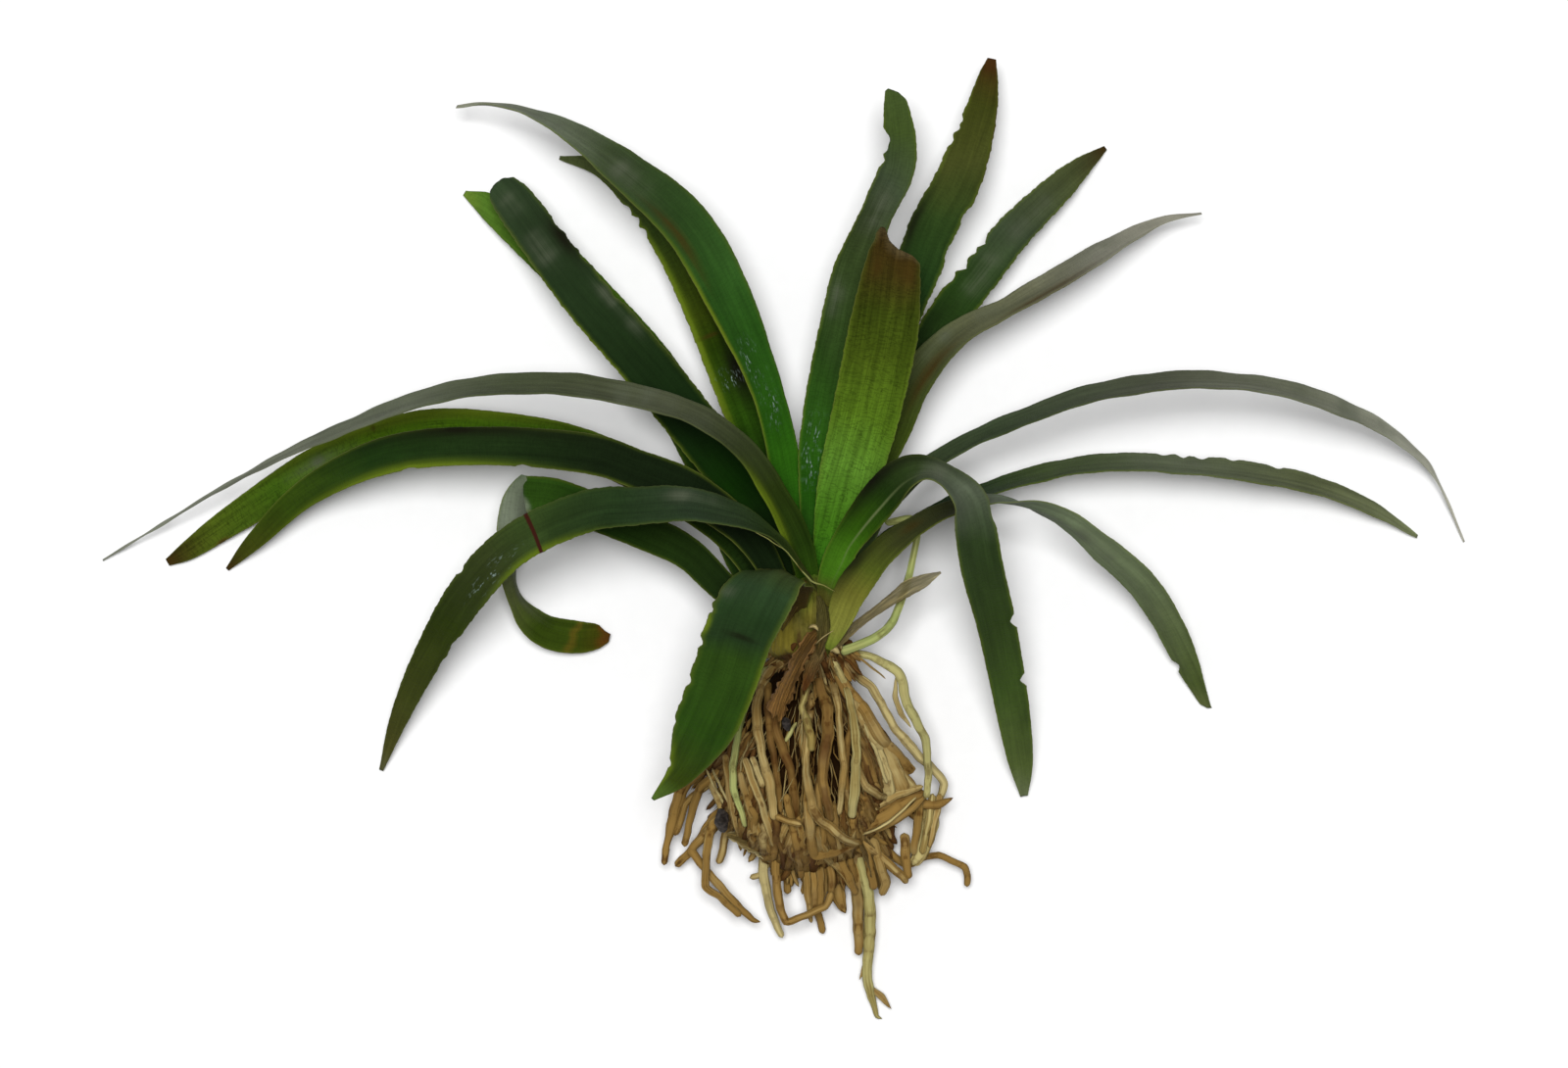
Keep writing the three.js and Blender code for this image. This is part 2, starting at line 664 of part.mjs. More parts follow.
// Roots that come out of the mat at its lower end
addRootFromMat("root_bottom_white", [
  [-2, -56, 10, 1.5],
  [-4, -66, 8, 1.4],
  [-2.6, -73, 6, 1.4],
  [-0.2, -81.4, 3.5, 0.9],
], colours.paleRoot);
addRootFromMat("root_bottom_hooked", [
  [0.4, -56, 15, 1],
  [-0.4, -70, 12, 0.9],
  [0.8, -78, 10.4, 0.9],
  [6, -75.6, 11.6, 0.8],
  [10.6, -73.2, 12, 0.8],
]);
addRootFromMat("root_bottom_stub", [
  [2, -58, 5, 0.8],
  [1, -66, 5, 0.8],
  [0.8, -72.4, 4, 0.8],
]);
addRootFromMat("root_bottom_thin", [
  [5, -56, 2.8, 1],
  [6, -66, 2.6, 1],
  [6.4, -75, 2.4, 1],
  [8, -80.6, 2.2, 0.9],
]);
addRootFromMat("root_bottom_broad", [
  [7, -55, 9, 2.2],
  [7, -66, 8.2, 2.4],
  [7, -71, 7.4, 2.4],
  [5.8, -76.6, 7, 1.4],
]);
addRootFromMat("root_bottom_spur", [
  [9, -56, 3.6, 1.3],
  [10, -66, 3.6, 1.4],
  [11.4, -73, 3.4, 1.3],
  [12.8, -76.4, 3, 0.5],
]);
addRootFromMat("root_tap", [
  [12, -54, 7, 2.2],
  [15, -66, 7, 2.3],
  [16.2, -74, 6, 2.2],
  [16.4, -80, 5, 2],
  [17, -86, 4, 1.4],
  [18, -91, 3, 1.3],
  [19.4, -97.2, 1.4, 0.7],
]);

// Roots that come out of the mat on its right
addRootFromMat("root_lower_right", [
  [12, -56, 14, 1.3],
  [17, -61, 13, 1.5],
  [21, -66, 11, 1.4],
  [25.2, -69.6, 9, 1.2],
]);
addRootFromMat("root_arm", [
  [14, -58, 3.4, 0.9],
  [25, -66, 4, 0.9],
  [31, -64.4, 5.4, 0.8],
  [36.6, -66.4, 5, 0.8],
  [37.6, -71, 3, 0.8],
]);
addRootFromMat("root_right_flat", [
  [17, -50, 5.6, 1.6],
  [25, -53, 5.8, 1.8],
  [29, -58, 7, 1.8],
  [27.2, -66, 8.4, 1.6],
]);
addRootFromMat("root_right_spike", [
  [14, -54, 9.6, 1],
  [26, -54.2, 9.6, 1],
  [34.4, -53, 9, 0.4],
]);
addRootFromMat("root_right_cross", [
  [8, -58, 12, 0.9],
  [20, -57.4, 12.6, 1],
  [27.6, -56, 13, 0.8],
]);

// The pale runner that loops up beside the crown, and the papery bract in front of it
addRootOverMat("runner", 0, [
  [11.4, -20.8, 22.4, 1.2],
  [17, -21.2, 22, 1.2],
  [21.6, -19, 20.6, 1],
  [23.6, -14.4, 19.5, 0.9],
  [25.4, -9, 19, 0.8],
  [26.6, -3, 18.6, 0.8],
  [27.4, 1, 18.6, 0.8],
  [26, 4.2, 19, 0.8],
  [20.6, 3.2, 19.5, 0.8],
], colours.paleRoot);
addLeaf("bract", colours.bract, 0.2, [
  [11, -22, 25, 1.4, 0],
  [16, -18, 24.4, 2, 0],
  [21, -14, 23.6, 2.6, 0],
  [26, -10, 23, 3.4, 0],
  [32, -7, 22, 0.5, 0],
]);

// Two crumbs of black gravel caught on the mat
function addGrit(name, x, y, z, halfWidth, halfLength, turn) {
  const halfHeight = 0.7 * halfWidth;
  const geometry = new THREE.IcosahedronGeometry(1, 0);
  geometry.scale(halfWidth, halfLength, halfHeight);
  geometry.rotateZ(THREE.MathUtils.degToRad(turn));
  const mesh = addPiece(name, geometry, colours.grit);
  mesh.position.copy(sighted(x, y, z));
}
addGrit("grit_left", -12.6, -57.8, 14.4, 1.6, 2.6, 10);
addGrit("grit_centre", 0.6, -38, 25.6, 1, 1.5, 20);

export default plant;
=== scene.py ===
"""A bare-rooted sagittaria on a pale table, seen from above: strap leaves, crown, runner and roots."""

import bpy
import numpy as np
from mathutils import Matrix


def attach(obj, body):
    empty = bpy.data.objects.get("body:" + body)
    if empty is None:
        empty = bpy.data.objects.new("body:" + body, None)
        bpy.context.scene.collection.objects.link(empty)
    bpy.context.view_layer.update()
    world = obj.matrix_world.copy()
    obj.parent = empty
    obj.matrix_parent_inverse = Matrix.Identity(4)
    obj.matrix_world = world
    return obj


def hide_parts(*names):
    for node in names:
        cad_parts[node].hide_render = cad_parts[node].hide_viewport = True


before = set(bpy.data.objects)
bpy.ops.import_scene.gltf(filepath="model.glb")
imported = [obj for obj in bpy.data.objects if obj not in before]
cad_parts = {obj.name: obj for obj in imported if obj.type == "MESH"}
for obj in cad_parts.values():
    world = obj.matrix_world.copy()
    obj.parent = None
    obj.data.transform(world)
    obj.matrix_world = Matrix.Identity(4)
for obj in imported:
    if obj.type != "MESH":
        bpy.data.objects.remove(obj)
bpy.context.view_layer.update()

# The upright leaves in the middle of the rosette: fleshy straps with a keel along the middle, fine
# lengthwise veins and a net of cross veins. They grow out of the crown one above the other, and the front
# one is cut off short and browned at the cut.
MM = 0.001  # metres
EYE_HEIGHT = 1000  # mm above the table, of the camera
EYE_Y = 1  # mm from the origin towards the upright leaves, of the camera
READING_HEIGHT = 20  # mm above the table, where the x and y of every station are right as they show
TABLE_GAP = 0.05  # mm, the least height of any leaf or root above the table
CURVE_POINTS = 1500
LEAF_COLUMNS = 40  # points in a ring round a blade
LEAF_ROW = 0.5  # mm from one row of points to the next
MIDRIB = 0.42  # mm, half the thickness of a blade at its keel
MARGIN = 0.16  # mm, half its thickness at the margins
RIB_HEIGHT = 0.05  # mm, of the ribs that run along a blade
LEAF_DEPTH = 0.74  # how much darker the tissue is than its tone, which is as it shows under the lights

# Two grey tones here are painted sheen: one is blended in at a leaf's sheen patches, the other stands in
# the ramps of some leaves.
TONES = {
    "night": "16230f", "shade": "1d2d14", "forest": "24391a", "deep": "2b4519", "fresh": "2c6414",
    "moss": "3d4c28", "sheen_steel": "3f4c34", "sheen_grey": "5a604e", "pale": "7f8c5c", "thin": "6d7038",
    "yellow": "5f7218", "margin": "5f701f", "rust": "40300f", "stain_and_shade": "17190d", "crease": "3a1a12",
}


def tone(code):
    """A colour given as six hexadecimal digits or as a leaf tone's name, as linear red, green, blue,
    alpha."""
    code = TONES.get(code, code)
    screen = np.array([int(code[k:k + 2], 16) / 255 for k in (0, 2, 4)])
    linear = np.where(screen < 0.04045, screen / 12.92, ((screen + 0.055) / 1.055) ** 2.4)
    return (*linear.tolist(), 1.0)


def unit(vectors):
    """Vectors made one long."""
    return vectors / np.linalg.norm(vectors, axis=-1, keepdims=True)


def sighted(places):
    """Places read at the reading height, moved along the line of sight to their own height. In mm."""
    x, y, height = places[..., 0], places[..., 1], places[..., 2]
    closer = (EYE_HEIGHT - height) / (EYE_HEIGHT - READING_HEIGHT)
    return np.stack([x * closer, EYE_Y + (y - EYE_Y) * closer, height], axis=-1)


def smooth(points):
    """The Catmull-Rom curve through the points: between two of them a cubic whose slope at each is half
    the step from its neighbour before to its neighbour after."""
    ends = np.vstack([2 * points[0] - points[1], points, 2 * points[-1] - points[-2]])
    at = np.linspace(0, len(points) - 1, CURVE_POINTS)
    i = np.minimum(at.astype(int), len(points) - 2)
    w = (at - i)[:, None]
    a, b, c, d = ends[i], ends[i + 1], ends[i + 2], ends[i + 3]
    return b + 0.5 * w * (c - a + w * (2 * a - 5 * b + 4 * c - d + w * (3 * (b - c) + d - a)))


def travelled(line):
    """The distance along a line to each of its points."""
    return np.concatenate([[0], np.cumsum(np.linalg.norm(np.diff(line, axis=0), axis=1))])


def read_along(values, run, at):
    """Rows of values known at the distances run, read at any other distances."""
    return np.stack([np.interp(at, run, values[:, k]) for k in range(values.shape[1])], axis=-1)


def end_faces(columns):
    """Faces that close a ring, from each point to the one across from it."""
    faces = [(0, 1, columns - 1)]
    for k in range(1, (columns - 1) // 2):
        faces.append((k, k + 1, columns - k - 1, columns - k))
    if columns % 2 == 0:
        faces.append((columns // 2 - 1, columns // 2, columns // 2 + 1))
    return faces


def closed_skins(name, skins):
    """One object of closed skins. A skin is (rings, marks): rings of points in mm, joined by quads and
    closed at both ends, and marks, a value of three numbers at each point for each name."""
    points, faces, marks = [], [], {}
    first = 0
    for rings, skin_marks in skins:
        rows, columns = rings.shape[:2]
        own = rings.reshape(-1, 3)
        k = np.arange(columns)
        after = (k + 1) % columns
        start = (np.arange(rows - 1) * columns)[:, None]
        quads = np.stack([start + k, start + after, start + columns + after, start + columns + k], axis=-1)
        quads = quads.reshape(-1, 4)
        a, b, c, d = (own[quads[:, j]] for j in range(4))
        outwards = (np.cross(a, b) * c).sum() + (np.cross(a, c) * d).sum() > 0
        last = (rows - 1) * columns
        shape = quads.tolist()
        for face in end_faces(columns):
            shape.append(face[::-1])
            shape.append([last + corner for corner in face])
        for face in shape:
            corners = [corner + first for corner in face]
            faces.append(corners if outwards else corners[::-1])
        points.append(own)
        for key, value in skin_marks.items():
            flat = np.broadcast_to(value, (rows, columns, 3)).reshape(-1, 3)
            marks.setdefault(key, []).append(flat)
        first += len(own)
    mesh = bpy.data.meshes.new(name)
    mesh.from_pydata((np.vstack(points) * MM).tolist(), [], faces)
    for key, value in marks.items():
        layer = mesh.attributes.new(key, "FLOAT_VECTOR", "POINT")
        layer.data.foreach_set("vector", np.vstack(value).astype(np.float32).ravel())
    mesh.shade_smooth()
    piece = bpy.data.objects.new(name, mesh)
    bpy.context.scene.collection.objects.link(piece)
    return piece


def dress(piece, finish, node=None):
    """Gives a piece its finish and its place in the frame. node is the solid that it stands for."""
    piece.data.materials.append(finish)
    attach(piece, "root")
    if node:
        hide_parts(node)


def swell(at, wavelengths, dice):
    """A smooth random line between about -1 and 1: sines of the given wavelengths with seeded phases,
    averaged."""
    waves = [np.sin(2 * np.pi * (at / length + dice.random())) for length in wavelengths]
    return sum(waves) / len(waves)


def blade(stations, cup, bites=(), tip=((-1, 0), (1, 0)), ripple=0.2, ragged=0.02, patches=(), seed=1,
          midrib=MIDRIB, margin=MARGIN, shares=(0, 1)):
    """A leaf's closed skin. The first parameter runs round the section: its cosine is the place across
    the blade, -1 at the right margin and 1 at the left, and its sine tells the upper face from the lower.
    The second runs along the stations [x, y, height, full width, roll]. A margin stands above the keel by
    cup times the half width, ripples, and is notched by bites (side, mm along, depth, length). tip pushes
    the end on, in mm, by place across. patches are (kind, share along, place across, reach along, reach
    across) of a soft mark. shares are the shares along the whole leaf where this skin starts and ends."""
    dice = np.random.default_rng(seed)
    stations = np.array(stations, float)
    line = smooth(sighted(stations[:, :3]))
    form = smooth(stations[:, 3:])
    run = travelled(line)
    ahead = unit(np.gradient(line, axis=0))
    side = unit(np.cross([0, 0, 1], ahead))
    roll = np.radians(form[:, 1:])
    sideways = np.cos(roll) * side + np.sin(roll) * np.cross(ahead, side)
    normal = np.cross(ahead, sideways)

    turn = np.linspace(0, 2 * np.pi, LEAF_COLUMNS, endpoint=False)[None, :]
    across = np.cos(turn)
    upper = np.tanh(4 * np.sin(turn))
    share = np.linspace(0, 1, int(run[-1] / LEAF_ROW))[:, None]
    push = np.interp(across, *np.array(tip, float).T)
    along = share * run[-1] + push * share ** 14
    past = np.maximum(along - run[-1], 0)
    half = np.maximum(np.interp(along, run, form[:, 0]), 0.5) / 2
    kept = 1 + ragged * swell(along + 7 * np.sign(across), (5.1, 2.3, 1.3), dice)
    for where, mm, depth, reach in bites:
        notch = np.clip(1 - np.abs((along - mm) / reach), 0, 1) ** 0.7
        kept = kept - depth * notch * (np.sign(across) == where)
    kept = 1 - (1 - kept) * np.abs(across) ** 2

    bowl = cup * half * (np.sqrt(across ** 2 + 0.01) - 0.1)
    ribs = RIB_HEIGHT * np.minimum(half / 4, 1) * np.cos(7 * np.pi * across)
    waves = ripple * across ** 2 * swell(along + 11 * np.sign(across), (23, 14, 9), dice)
    thick = (margin + (midrib - margin) * (1 - np.abs(across)) ** 1.5) * np.minimum(half / 2, 1)
    lift = bowl + ribs + waves + upper * thick
    rings = (
        read_along(line, run, along)
        + read_along(ahead, run, along) * past[..., None]
        + read_along(sideways, run, along) * (across * half * kept)[..., None]
        + read_along(normal, run, along) * lift[..., None]
    )
    rings[..., 2] = np.maximum(rings[..., 2], TABLE_GAP)

    share = shares[0] + (shares[1] - shares[0]) * share
    marks = dict.fromkeys(("brown", "sheen", "wet_glint", "yellow", "dark", "line", "keel"), 0)
    for kind, at, place, reach, spread in patches:
        spot = np.exp(-(((share - at) / reach) ** 2) - ((across - place) / spread) ** 2)
        marks[kind] = np.maximum(marks[kind], spot)
    grid = np.ones_like(across * share)
    return rings, {
        "blade": np.stack([across * grid, share * grid, marks["keel"] * grid], axis=-1),
        "size": np.stack([across * half * 0.1, along * 0.1, seed * grid], axis=-1),
        "marks": np.stack([marks[kind] * grid for kind in ("brown", "sheen", "wet_glint")], axis=-1),
        "spots": np.stack([marks[kind] * grid for kind in ("yellow", "dark", "line")], axis=-1),
    }


class Wire:
    """One output of a material's node. Arithmetic on wires adds the Math nodes that work it out."""

    def __init__(self, tree, socket=None):
        self.tree = tree
        self.socket = socket

    def node(self, kind, settings=None, values=None, output=0):
        """Adds a node: first its own settings or a ramp's stops, then the numbers or wires of its
        sockets."""
        made = self.tree.nodes.new(kind)
        for name, value in (settings or {}).items():
            if name == "stops":
                ramp = made.color_ramp
                while len(ramp.elements) < len(value):
                    ramp.elements.new(0.5)
                for element, (place, colour) in zip(ramp.elements, value):
                    element.position = place
                    element.color = colour
            else:
                setattr(made, name, value)
        for name, value in (values or {}).items():
            if isinstance(value, Wire):
                self.tree.links.new(value.socket, made.inputs[name])
            else:
                made.inputs[name].default_value = value
        return Wire(self.tree, made.outputs[output] if len(made.outputs) else None)

    def maths(self, operation, first, second=0.0):
        return self.node("ShaderNodeMath", {"operation": operation}, {0: first, 1: second})

    def __add__(self, other):
        return self.maths("ADD", self, other)

    __radd__ = __add__

    def __sub__(self, other):
        return self.maths("SUBTRACT", self, other)

    def __rsub__(self, other):
        return self.maths("SUBTRACT", other, self)

    def __mul__(self, other):
        return self.maths("MULTIPLY", self, other)

    __rmul__ = __mul__

    def __abs__(self):
        return self.maths("ABSOLUTE", self)

    def between(self, low, high):
        """0 below low and 1 above high, smooth between them. The other way round where low is the
        larger."""
        return self.node("ShaderNodeMapRange", {"interpolation_type": "SMOOTHSTEP"},
                         {0: self, 1: low, 2: high})

    def blend(self, first, second):
        """The first colour where this wire is 0, the second where it is 1."""
        return self.node("ShaderNodeMix", {"data_type": "RGBA"},
                         {0: self, 6: first, 7: second}, output=2)

    def scaled(self, amount):
        """This colour or vector times a number."""
        return self.node("ShaderNodeVectorMath", {"operation": "SCALE"}, {0: self, 3: amount})

    def stretched(self, amounts):
        """This vector times three numbers."""
        return self.node("ShaderNodeVectorMath", {"operation": "MULTIPLY"}, {0: self, 1: amounts})

    def mark(self, name):
        """The three numbers that the mesh holds under a name."""
        return self.node("ShaderNodeAttribute", {"attribute_name": name}, output=1)

    def part(self, index):
        return self.node("ShaderNodeSeparateXYZ", values={0: self}, output=index)

    def noise(self, scale, detail=2.0, rough=0.5):
        """Soft random values around 0.5 at this place."""
        return self.node("ShaderNodeTexNoise", values={
            "Vector": self, "Scale": scale, "Detail": detail, "Roughness": rough})


def material_of(name, build, **constants):
    """The material whose colour, roughness, relief and depth of relief in metres build works out from a
    bare wire. The constants are set on the shader's own sockets."""
    material = bpy.data.materials.new(name)
    material.use_nodes = True
    material.node_tree.nodes.clear()
    start = Wire(material.node_tree)
    colour, roughness, relief, depth = build(start)
    bump = start.node("ShaderNodeBump", values={"Strength": 1.0, "Distance": depth, "Height": relief})
    surface = start.node("ShaderNodeBsdfPrincipled", values={
        "Base Color": colour, "Roughness": roughness, "Normal": bump, **constants})
    start.node("ShaderNodeOutputMaterial", values={"Surface": surface})
    return material


def leaf_material(name, tones, rim, net, streaks):
    """Leaf tissue. tones are (share along, tone) from base to tip. rim is how strongly the margins show
    light green, net how dark the veins stand on the tissue, streaks how uneven it is from side to
    side."""

    def build(start):
        blade_mark = start.mark("blade")
        size = start.mark("size")
        marks = start.mark("marks")
        spots = start.mark("spots")
        across, share = blade_mark.part(0), blade_mark.part(1)
        cloudy = size.stretched((0.9, 0.35, 1)).noise(1.0, 3)
        stripes = size.stretched((9, 0.22, 1)).noise(1.0, 3)
        fine = size.stretched((34, 0.6, 1)).noise(1.0, 2)
        mottled = size.stretched((3, 1.3, 1)).noise(1.0, 4)
        place = share + (cloudy - 0.5) * 0.12
        stops = [(at, tone(code)) for at, code in tones]
        ramp = start.node("ShaderNodeValToRGB", {"stops": stops}, {0: place})
        light = 1 + (stripes - 0.5) * streaks + (cloudy - 0.5) * 0.5
        tissue = ramp.scaled(light + (fine - 0.5) * 0.35 + (mottled - 0.5) * 0.6)
        bands = size.stretched((4.5, 0.05, 1)).noise(1.0, 1).between(0.5, 0.36)
        tissue = (bands * net * 0.7).blend(tissue, tissue.scaled(0.6))
        crosswise = abs(size.stretched((4, 13, 1)).noise(1.0, 1) - 0.5).between(0.05, 0.0)
        lengthwise = abs(size.stretched((17, 0.8, 1)).noise(1.0, 1) - 0.5).between(0.06, 0.0)
        veins = crosswise + lengthwise * 0.7
        tissue = (veins * net * (0.2 + mottled)).blend(tissue, tissue.scaled(0.5))
        tissue = (spots.part(0) * (0.4 + stripes)).between(0, 0.9).blend(tissue, tone("yellow"))
        edge = abs(across).between(0.78, 0.99) * (mottled * 1.5 - 0.1)
        tissue = (edge * rim).blend(tissue, tone("margin"))
        tissue = (abs(across).between(0.955, 0.985) * rim * 1.2).blend(tissue, tone("thin"))
        keel = abs(across + 0.3).between(0.11, 0.02) * blade_mark.part(2)
        tissue = (keel * 0.7).blend(tissue, tone("pale"))
        # Dark patches turn the tissue near black: a stain on the flap, and painted shade where a
        # neighbouring leaf shades a blade.
        tissue = (spots.part(1) * (0.5 + mottled * 0.9)).blend(tissue, tone("stain_and_shade"))
        brown = marks.part(0) * (stripes * 1.3 + mottled * 0.7)
        tissue = brown.between(0.2, 1.4).blend(tissue, tone("rust"))
        tissue = spots.part(2).between(0.3, 0.6).blend(tissue, tone("crease"))
        # Sheen patches are a painted sheen: grey blended into the colour in soft blotches and lengthwise
        # streaks.
        sheen_blotches = size.stretched((0.6, 1.8, 1)).noise(1.0, 1).between(0.36, 0.7)
        sheen = marks.part(1) * ((stripes + fine - 0.55) * 0.5 + sheen_blotches * 0.42)
        tissue = sheen.between(0, 1).blend(tissue, tone("sheen_grey"))
        tissue = tissue.scaled(LEAF_DEPTH)
        # Wet patches have lower roughness and are dotted with painted glints: pale bluish-white specks
        # blended into the colour.
        glint_specks = size.stretched((30, 8, 1)).noise(1.0, 2).between(0.52, 0.62)
        wet_glint = marks.part(2) * glint_specks * size.stretched((7, 2.2, 1)).noise(1.0, 2).between(0.46, 0.6)
        tissue = (wet_glint * 0.65).blend(tissue, tone("a9c0b8"))
        roughness = 0.5 - (cloudy - 0.5) * 0.2 - marks.part(2) * 0.2
        relief = fine * 0.5 + veins * -0.3 + stripes + wet_glint * 2
        return tissue, roughness, relief, 0.00012

    return material_of(name, build, **{"Specular IOR Level": 0.07})


def grow_leaf(node, slot, tones, rim=0.5, net=0.25, streaks=0.5, folded=None, **shape):
    """One leaf. folded is what differs in the shape of its second blade, past a sharp fold."""
    skins = [blade(**shape)]
    if folded:
        skins.append(blade(**{**shape, **folded}))
    piece = closed_skins(node.replace("leaf", "strap"), skins)
    dress(piece, leaf_material(piece.name + "_tissue", tones, rim, net, streaks), node)


grow_leaf(
    "leaf_centre_short", "leaf_bright", rim=0.25, net=0.8, streaks=0.9, seed=2, cup=0.15,
    tones=[(0, "fresh"), (0.14, "467a1a"), (0.35, "5e8a2c"), (0.5, "56761c"), (0.66, "4c6016"),
           (0.8, "3c4910"), (0.9, "413c12"), (0.97, "3d3010"), (1, "55492e")],
    tip=[(-1, -3.6), (-0.72, -2.2), (-0.1, -1.2), (0.35, 0.4), (0.55, 2.6), (0.78, 2.9), (1, 1.2)],
    patches=[("brown", 0.93, -0.45, 0.06, 0.5), ("brown", 0.92, 0.5, 0.05, 0.35)],
    stations=[
        [8.6, -8.4, 18.6, 5, 0],
        [10.2, 0.4, 20, 8.5, 0],
        [12.8, 11, 23, 12, 0],
        [15.4, 20.4, 26, 13.4, 0],
        [17.8, 30.4, 29, 14, 0],
        [20.2, 42, 32, 14.2, 0],
        [21.6, 51.6, 33, 12.4, 0],
        [22.4, 57.6, 33, 10.5, 0],
        [22.8, 60.4, 32.5, 8.6, 0],
    ])
grow_leaf(
    "leaf_tall_left", "leaf_deep", net=0.3, seed=3, cup=0.2, ragged=0.03,
    tones=[(0, "deep"), (0.16, "24520f"), (0.26, "2c5a14"), (0.45, "deep"), (0.68, "moss"),
           (0.8, "sheen_steel"), (0.92, "3d4e22"), (1, "46582a")],
    bites=[(1, 94.4, 0.25, 1.4), (1, 92.6, 0.45, 1.8), (1, 90.6, 0.3, 1.2), (1, 88, 0.22, 1.6)],
    patches=[("sheen", 0.75, 0.1, 0.07, 0.8), ("sheen", 0.56, 0.5, 0.06, 0.5),
             ("wet_glint", 0.25, 0.2, 0.05, 0.4)],
    tip=[(-1, -2.4), (-0.5, -0.6), (0, 0), (0.6, 0.6), (1, 0)],
    stations=[
        [6, -8.5, 16.6, 4, 10],
        [6, 14, 18, 6.5, 10],
        [7.2, 24, 19, 7.4, 8],
        [9.2, 34, 20, 8, 5],
        [11.6, 44, 21, 8.6, 5],
        [13.8, 54, 22, 8.4, 10],
        [16.8, 62, 24, 7.6, 20],
        [19.4, 68, 26, 7.4, 25],
        [22.8, 75, 27, 7.4, 10],
        [23.6, 81, 26, 6.8, 0],
        [23, 87, 24, 5.4, 0],
        [22.4, 91.4, 22, 3.6, 0],
    ])
grow_leaf(
    "leaf_tall_right", "leaf_deep", net=0.3, seed=4, cup=0.15, ragged=0.04,
    tones=[(0, "forest"), (0.4, "shade"), (0.55, "25401a"), (0.68, "2f441c"), (0.8, "454b20"),
           (0.9, "414617"), (0.97, "40300f"), (1, "4d2412")],
    bites=[(1, 100, 0.2, 1), (1, 98, 0.22, 1.2), (1, 95, 0.14, 1.4), (-1, 81.8, 0.12, 2.5),
           (-1, 73.2, 0.1, 3)],
    # The dark patch along its left margin is painted shade from the tall left leaf.
    patches=[("brown", 1, 0, 0.03, 2), ("brown", 0.86, -1, 0.12, 0.12), ("dark", 0.66, 0.85, 0.06, 0.25)],
    stations=[
        [10, -9.5, 14.8, 4, 0],
        [13.6, 14, 13, 7, 0],
        [18.6, 30, 13, 8.4, 0],
        [23.6, 46, 15, 9, 0],
        [27.6, 56, 16, 9.6, 0],
        [30.6, 64, 17, 9.8, 0],
        [35, 72, 17, 9.6, 0],
        [38, 80, 16, 8.6, 0],
        [40.4, 88, 14, 6.4, 0],
        [41.6, 94, 12, 4.2, 0],
        [42.4, 98, 11, 1.8, 0],
    ])
grow_leaf(
    "leaf_upper_right", "leaf_deep", net=0.25, seed=5, cup=0.15, ragged=0.05,
    tones=[(0, "forest"), (0.45, "shade"), (0.62, "deep"), (0.76, "sheen_steel"), (0.9, "4a5230"), (1, "3a2d12")],
    bites=[(1, 80.6, 0.22, 1.6), (1, 77.6, 0.14, 1.2), (1, 74, 0.26, 1.4), (1, 70.4, 0.14, 1.4),
           (-1, 60, 0.1, 3)],
    patches=[("sheen", 0.66, 0, 0.05, 0.8), ("sheen", 0.8, 0, 0.07, 0.6), ("brown", 1, 0, 0.02, 2)],
    stations=[
        [9.6, -12.5, 13, 4, 0],
        [17, 12, 9, 6.5, 0],
        [23, 26, 8, 8, 0],
        [29, 38, 8.5, 8.4, 0],
        [34.8, 47.4, 9, 8.4, 0],
        [40.8, 55, 9, 8, 0],
        [47, 62.8, 8, 7.6, 0],
        [56, 71.6, 5, 6.2, 0],
        [61, 76.2, 3, 4, 0],
        [65.6, 79.8, 0.8, 1, 0],
    ])
grow_leaf(
    "leaf_right_grey", "leaf_grey", net=0.2, streaks=1.1, rim=0.15, seed=6, cup=0.2,
    # Its greys from the middle to the tip are a painted sheen, where the blade turns on edge.
    tones=[(0, "forest"), (0.3, "3f4e18"), (0.45, "4e5434"), (0.6, "686a4e"), (0.8, "78786a"),
           (1, "949282")],
    patches=[("brown", 0.42, -0.3, 0.1, 0.5), ("sheen", 0.46, 0.4, 0.06, 0.5),
             ("brown", 0.68, -0.7, 0.12, 0.5), ("sheen", 0.58, 0.3, 0.05, 0.8),
             ("sheen", 0.78, 0.4, 0.06, 0.7)],
    stations=[
        [12.2, -11, 16.6, 4, -20],
        [18, 12, 15.8, 7, -20],
        [22.4, 22, 16, 8, -25],
        [26.4, 31, 17, 8.5, -32],
        [31.4, 37.6, 18, 8.5, -40],
        [37.6, 42.8, 18, 8, -50],
        [46, 47, 17, 7.5, -55],
        [56, 52.8, 15, 7, -48],
        [64, 57.8, 13, 6, -45],
        [72, 62.4, 10, 4, -45],
        [78, 65.2, 8, 2.2, -45],
        [85.2, 66.4, 6, 0.6, -40],
    ])

